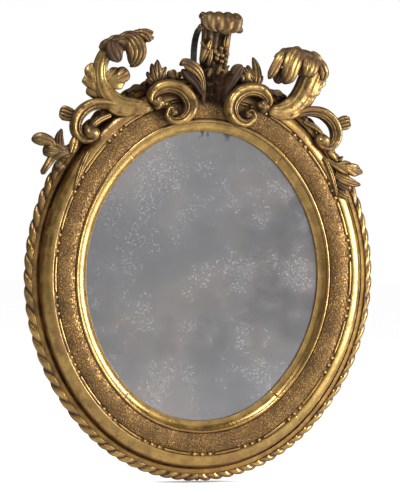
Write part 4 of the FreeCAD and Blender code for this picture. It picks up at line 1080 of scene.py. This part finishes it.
# Curled leaves beside the calyx
CALYX_LEAF_LEFT = (
    (-3.4, 52, 51, 4, 4, 5, 3),
    (-3.4, 80, 55, 5, 5, 5, 6),
    (-3.9, 100, 59, 7, 7, 6, 8),
    (-5.9, 118, 65, 11, 12, 7, 6),
    (-8.6, 131, 69, 12, 12, 6, 5),
    (-10.6, 136, 70, 9, 9, 5, 4),
    (-12.0, 133, 67, 4, 4, 4, 3),
)
CALYX_LEAF_SHADE = lobe(
    (-3.5, 69, 50), (-6.1, 95, 54), (-9.0, 112, 58), (-11.2, 125, 62),
    widths=(5, 10, 11, 6), age=1, grime_and_shade=0.45,
)
CALYX_LEAF_RIGHT = (
    (5.6, 58, 50, 5, 5, 5, 2),
    (6.8, 88, 54, 8, 8, 5, 5),
    (8.0, 112, 60, 12, 12, 6, 6),
    (9.2, 130, 67, 12, 11, 5, 5),
    (9.9, 137, 68, 7, 7, 4, 3),
)
CALYX_LEAF_AGE = (1.0, 0.8, 0.4, 0.5, 1.0)
leaf = carve(CALYX_LEAF_LEFT, flutes(3), depth=0.4, fringe=6, age=CALYX_LEAF_AGE, grime_and_shade=0.1, back_depth=0.3)
carving("calyx_leaf_left", leaf, CALYX_LEAF_SHADE)
leaf = carve(CALYX_LEAF_RIGHT, flutes(3), depth=0.35, fringe=5, age=1, grime_and_shade=0.35)
# The right leaf also takes the near-black brown of patina and painted shade
carving("calyx_leaf_right", leaf, material=PATINA_AND_SHADE_CARVING)

# Plume, the calyx that it rises from, and its berries
PLUME = (
    (0.8, 97, 36, 20, 20, 5, 11),
    (0.9, 114, 39, 24, 23, 6, 13),
    (1.2, 134, 42, 29, 28, 8, 9),
    (1.6, 170, 43, 30, 29, 10, 9),
    (1.8, 200, 44, 32, 31, 11, 9),
    (1.8, 220, 49, 37, 37, 10, 9),
    (1.8, 227, 60, 41, 42, 9, 9),
    (1.7, 221, 71, 43, 44, 8, 9),
    (1.5, 206, 75, 42, 43, 6, 8),
    (1.3, 192, 72, 38, 39, 4, 6),
)
CALYX = (
    (1.6, 57, 50, 22, 22, 5, 2),
    (2.0, 80, 53, 25, 25, 6, 4),
    (2.3, 98, 57, 28, 28, 6, 5),
    (2.4, 112, 62, 32, 32, 5, 5),
    (2.5, 122, 67, 33, 34, 4, 4),
)
PLUME_LEAVES = (
    lobe(
        (-3.6, 134, 48), (-2.7, 147, 53), (-1.4, 163, 54), (-0.4, 183, 52),
        widths=(4, 8, 7, 3), age=(0.4, 0.0),
    ),
    lobe((-1.5, 127, 51), (-0.8, 144, 55), (-0.4, 164, 55), widths=(4, 6, 3), age=(0.5, 0.1)),
    lobe((-3.5, 175, 51), (-2.3, 165, 56), (-0.9, 157, 57), widths=(2, 3, 2), ribs=1, age=0.0),
    lobe((4.1, 166, 52), (3.9, 179, 54), (4.2, 191, 52), widths=(5, 7, 4), age=0.2),
    ball(-3.3, 225, 70, 8, lobes=3, age=1),
    ball(-3.8, 203, 66, 7, lobes=3, age=0.9),
    ball(6.3, 222, 71, 10, lobes=3, age=0.9),
    ball(7.2, 204, 66, 8, lobes=3, age=0.9),
)
PLUME_REEDS = reeds(-1, -0.74, -0.3, 0.14, 0.6, 1)
PLUME_AGE = (0.3, 0.0, 0.0, 0.7, 0.85, 0.7, 0.9)
plume = carve(
    PLUME, PLUME_REEDS, depth=0.45, across=RIGHTWARDS, square=3.0, fringe=9, age=PLUME_AGE, back_depth=0.55
)
carving("plume", plume, *PLUME_LEAVES)
calyx = carve(CALYX, flutes(3), depth=0.12, across=RIGHTWARDS, square=3.0, fringe=9)
# The calyx takes the near-black brown: dark patina with painted shade
carving("calyx", calyx, material=PATINA_AND_SHADE_CARVING, slot="dark_bole")
BERRIES = (
    (2.9, 164),
    (4.5, 165),
    (0.8, 157),
    (1.9, 151),
    (3.4, 150),
    (4.7, 143),
    (3.4, 138),
    (5.0, 154),
    (1.6, 143),
)
BERRY_FRONT = 53
BERRY_RADIUS = 5.2
berries = [ball(angle, offset, BERRY_FRONT, BERRY_RADIUS, age=0.5) for angle, offset in BERRIES]
CALYX_SCRAPS = (
    lobe((1.3, 112, 64), (2.0, 120, 67), (2.8, 128, 62), widths=(3, 4, 2), age=0.2),
    lobe((3.4, 112, 66), (4.3, 121, 68), (5.3, 130, 63), widths=(3, 4, 2), age=0.2),
    lobe((-1.9, 107, 62), (-1.4, 115, 64), (-0.8, 122, 60), widths=(3, 4, 2), age=0.2),
    lobe((3.9, 115, 67), (3.0, 120, 69), (1.9, 118, 67), widths=(2, 3, 2), ribs=1, age=0.1),
)
carving("plume_berries", *berries, *CALYX_SCRAPS)

# Iron strap: offset and depth of its middle line, from its foot to its tab behind the plume
STRAP_LINE = ((56, 1.9), (100, 1.9), (148, 1.9), (168, 4), (182, 10), (193, 20), (200, 31), (203, 41))
STRAP_LEFT = 22
STRAP_HALF_WIDTH = 6.5
STRAP_FRONT = 1.5
STRAP_BACK = 1.2
STRAP_SECTION = (STRAP_HALF_WIDTH, STRAP_HALF_WIDTH, STRAP_FRONT, STRAP_BACK)
strap_rows = [
    (-math.degrees(math.asin(STRAP_LEFT / (END_RADIUS + offset))), offset, depth, *STRAP_SECTION)
    for offset, depth in STRAP_LINE
]
strap = carve(strap_rows, reeds(-1, 1), depth=0.0, across=RIGHTWARDS, square=8.0, ends=0.01)
piece("iron_strap_forged", [strap], IRON, "wrought_iron", "iron_strap")


# Materials of the CAD nodes that show as they are
CAD_LOOKS = {
    "base_upper_left": CARCASS_RISING,
    "base_upper_right": CARCASS_FALLING,
    "base_lower_left": CARCASS_FALLING,
    "base_lower_right": CARCASS_RISING,
    **BOARDS,
    "glazing_blocks": BLOCK_WOOD,
    "joint_dowels": BLOCK_WOOD,
    "mirror_plate": MIRROR,
    "hanger_plate": BRASS,
    "hanger_ring": BRASS,
    "backboard_screws": STEEL,
    "hanger_screws": STEEL,
    "strap_screws": STEEL,
    "pearls": GILT_PEARLS,
    "reels": GILT_MOULDING,
}
for name, node in frame["nodes"].items():
    for start, material in CAD_LOOKS.items():
        if name.startswith(start):
            node.data.materials.clear()
            node.data.materials.append(material)


# Floor, light and camera

FLOOR_REACH = 14
FLOOR_GAP = 0.002


def floor():
    """Plain pale floor under the mirror; the glow that only the camera sees fades at the mirror's foot as a
    painted contact shadow.
    """
    mesh = bpy.data.meshes.new("floor")
    corners = [(FLOOR_REACH * x, FLOOR_REACH * y, 0) for x, y in ((-1, -1), (1, -1), (1, 1), (-1, 1))]
    mesh.from_pydata(corners, [], [(0, 1, 2, 3)])
    result = bpy.data.objects.new("floor", mesh)
    result.location.z = cad_box[0][2] - FLOOR_GAP
    bpy.context.scene.collection.objects.link(result)
    nodes = Nodes("floor")
    tone = nodes.mix(nodes.noise(3), (0.78, 0.78, 0.78), (0.82, 0.82, 0.82))
    seen = nodes.add("ShaderNodeLightPath").outputs["Is Camera Ray"]
    # Painted shadow: the glow dims where the floor lies in the corner at the mirror's foot
    glow_with_painted_shadow = nodes.ramp(nodes.openness(0.03, 8), 0.35, 0.95, 0.0, 0.92)
    nodes.wire(Base_Color=tone, Emission_Strength=nodes.math("MULTIPLY", seen, glow_with_painted_shadow))
    nodes.shader.inputs["Roughness"].default_value = 0.8
    nodes.shader.inputs["Emission Color"].default_value = (1, 1, 1, 1)
    mesh.materials.append(nodes.material)


# Place, width and height, and brightness of each lamp
LAMPS = {
    "window": ((2.15, -1.5, 0.35), (1.15, 1.6), 13.5),
    "top": ((-0.9, -1.1, 2.0), (1.0, 0.7), 13),
    "left": ((-2.4, -0.9, 0.4), (0.9, 1.5), 0.2),
    "behind": ((0.0, 2.6, 0.9), (2.0, 1.6), 2.2),
    "card": ((0.1, -3.0, 0.75), (2.0, 1.9), 0.5),
}
LAMP_AIM = (0, 0, 0.05)


def softbox(name, place, size, brightness):
    """Large soft lamp that faces the mirror; brightness is what its face shows."""
    lamp = bpy.data.lights.new(name, "AREA")
    lamp.shape = "RECTANGLE"
    lamp.size, lamp.size_y = size
    lamp.energy = brightness * math.pi * size[0] * size[1]
    result = bpy.data.objects.new(name, lamp)
    result.location = place
    result.rotation_euler = (Vector(LAMP_AIM) - Vector(place)).to_track_quat("-Z", "Y").to_euler()
    result.visible_camera = False
    bpy.context.scene.collection.objects.link(result)


def world():
    """White behind the mirror, soft grey all round for its light and reflections."""
    result = bpy.data.worlds.new("studio")
    result.use_nodes = True
    tree = result.node_tree
    background = tree.nodes["Background"]
    background.inputs["Color"].default_value = (0.075, 0.07, 0.065, 1)
    white = tree.nodes.new("ShaderNodeBackground")
    white.inputs["Color"].default_value = (1, 1, 1, 1)
    path = tree.nodes.new("ShaderNodeLightPath")
    mix = tree.nodes.new("ShaderNodeMixShader")
    tree.links.new(path.outputs["Is Camera Ray"], mix.inputs[0])
    tree.links.new(background.outputs[0], mix.inputs[1])
    tree.links.new(white.outputs[0], mix.inputs[2])
    tree.links.new(mix.outputs[0], tree.nodes["World Output"].inputs["Surface"])
    bpy.context.scene.world = result


# Camera fitted to the photograph: sizes in pixels, sensor in millimetres, angles in degrees
IMAGE_HEIGHT = 492
FOCAL_PIXELS = 2254
SENSOR = 36
CAMERA_DISTANCE = 4.5
CAMERA_AZIMUTH = -16.6
CAMERA_ELEVATION = 1.4
CAMERA_ROLL = 1.2
AIM_HEIGHT = 0.0591


def camera():
    """Camera at the photograph's angle: a little to the left, level with the middle."""
    azimuth, elevation = math.radians(CAMERA_AZIMUTH), math.radians(CAMERA_ELEVATION)
    place = CAMERA_DISTANCE * Vector(
        (
            math.sin(azimuth) * math.cos(elevation),
            -math.cos(azimuth) * math.cos(elevation),
            math.sin(elevation),
        )
    )
    back = (place - Vector((0, 0, AIM_HEIGHT))).normalized()
    level = Vector((0, 0, 1)).cross(back).normalized()
    upright = back.cross(level)
    roll = math.radians(CAMERA_ROLL)
    right = level * math.cos(roll) + upright * math.sin(roll)
    up = upright * math.cos(roll) - level * math.sin(roll)
    data = bpy.data.cameras.new("camera")
    data.sensor_width = SENSOR
    data.lens = FOCAL_PIXELS / IMAGE_HEIGHT * SENSOR
    result = bpy.data.objects.new("camera", data)
    result.matrix_world = Matrix.Translation(place) @ Matrix((right, up, back)).transposed().to_4x4()
    bpy.context.scene.collection.objects.link(result)
    bpy.context.scene.camera = result


floor()
world()
for name, lamp in LAMPS.items():
    softbox(name, *lamp)
camera()
bpy.context.scene.view_settings.view_transform = "Standard"
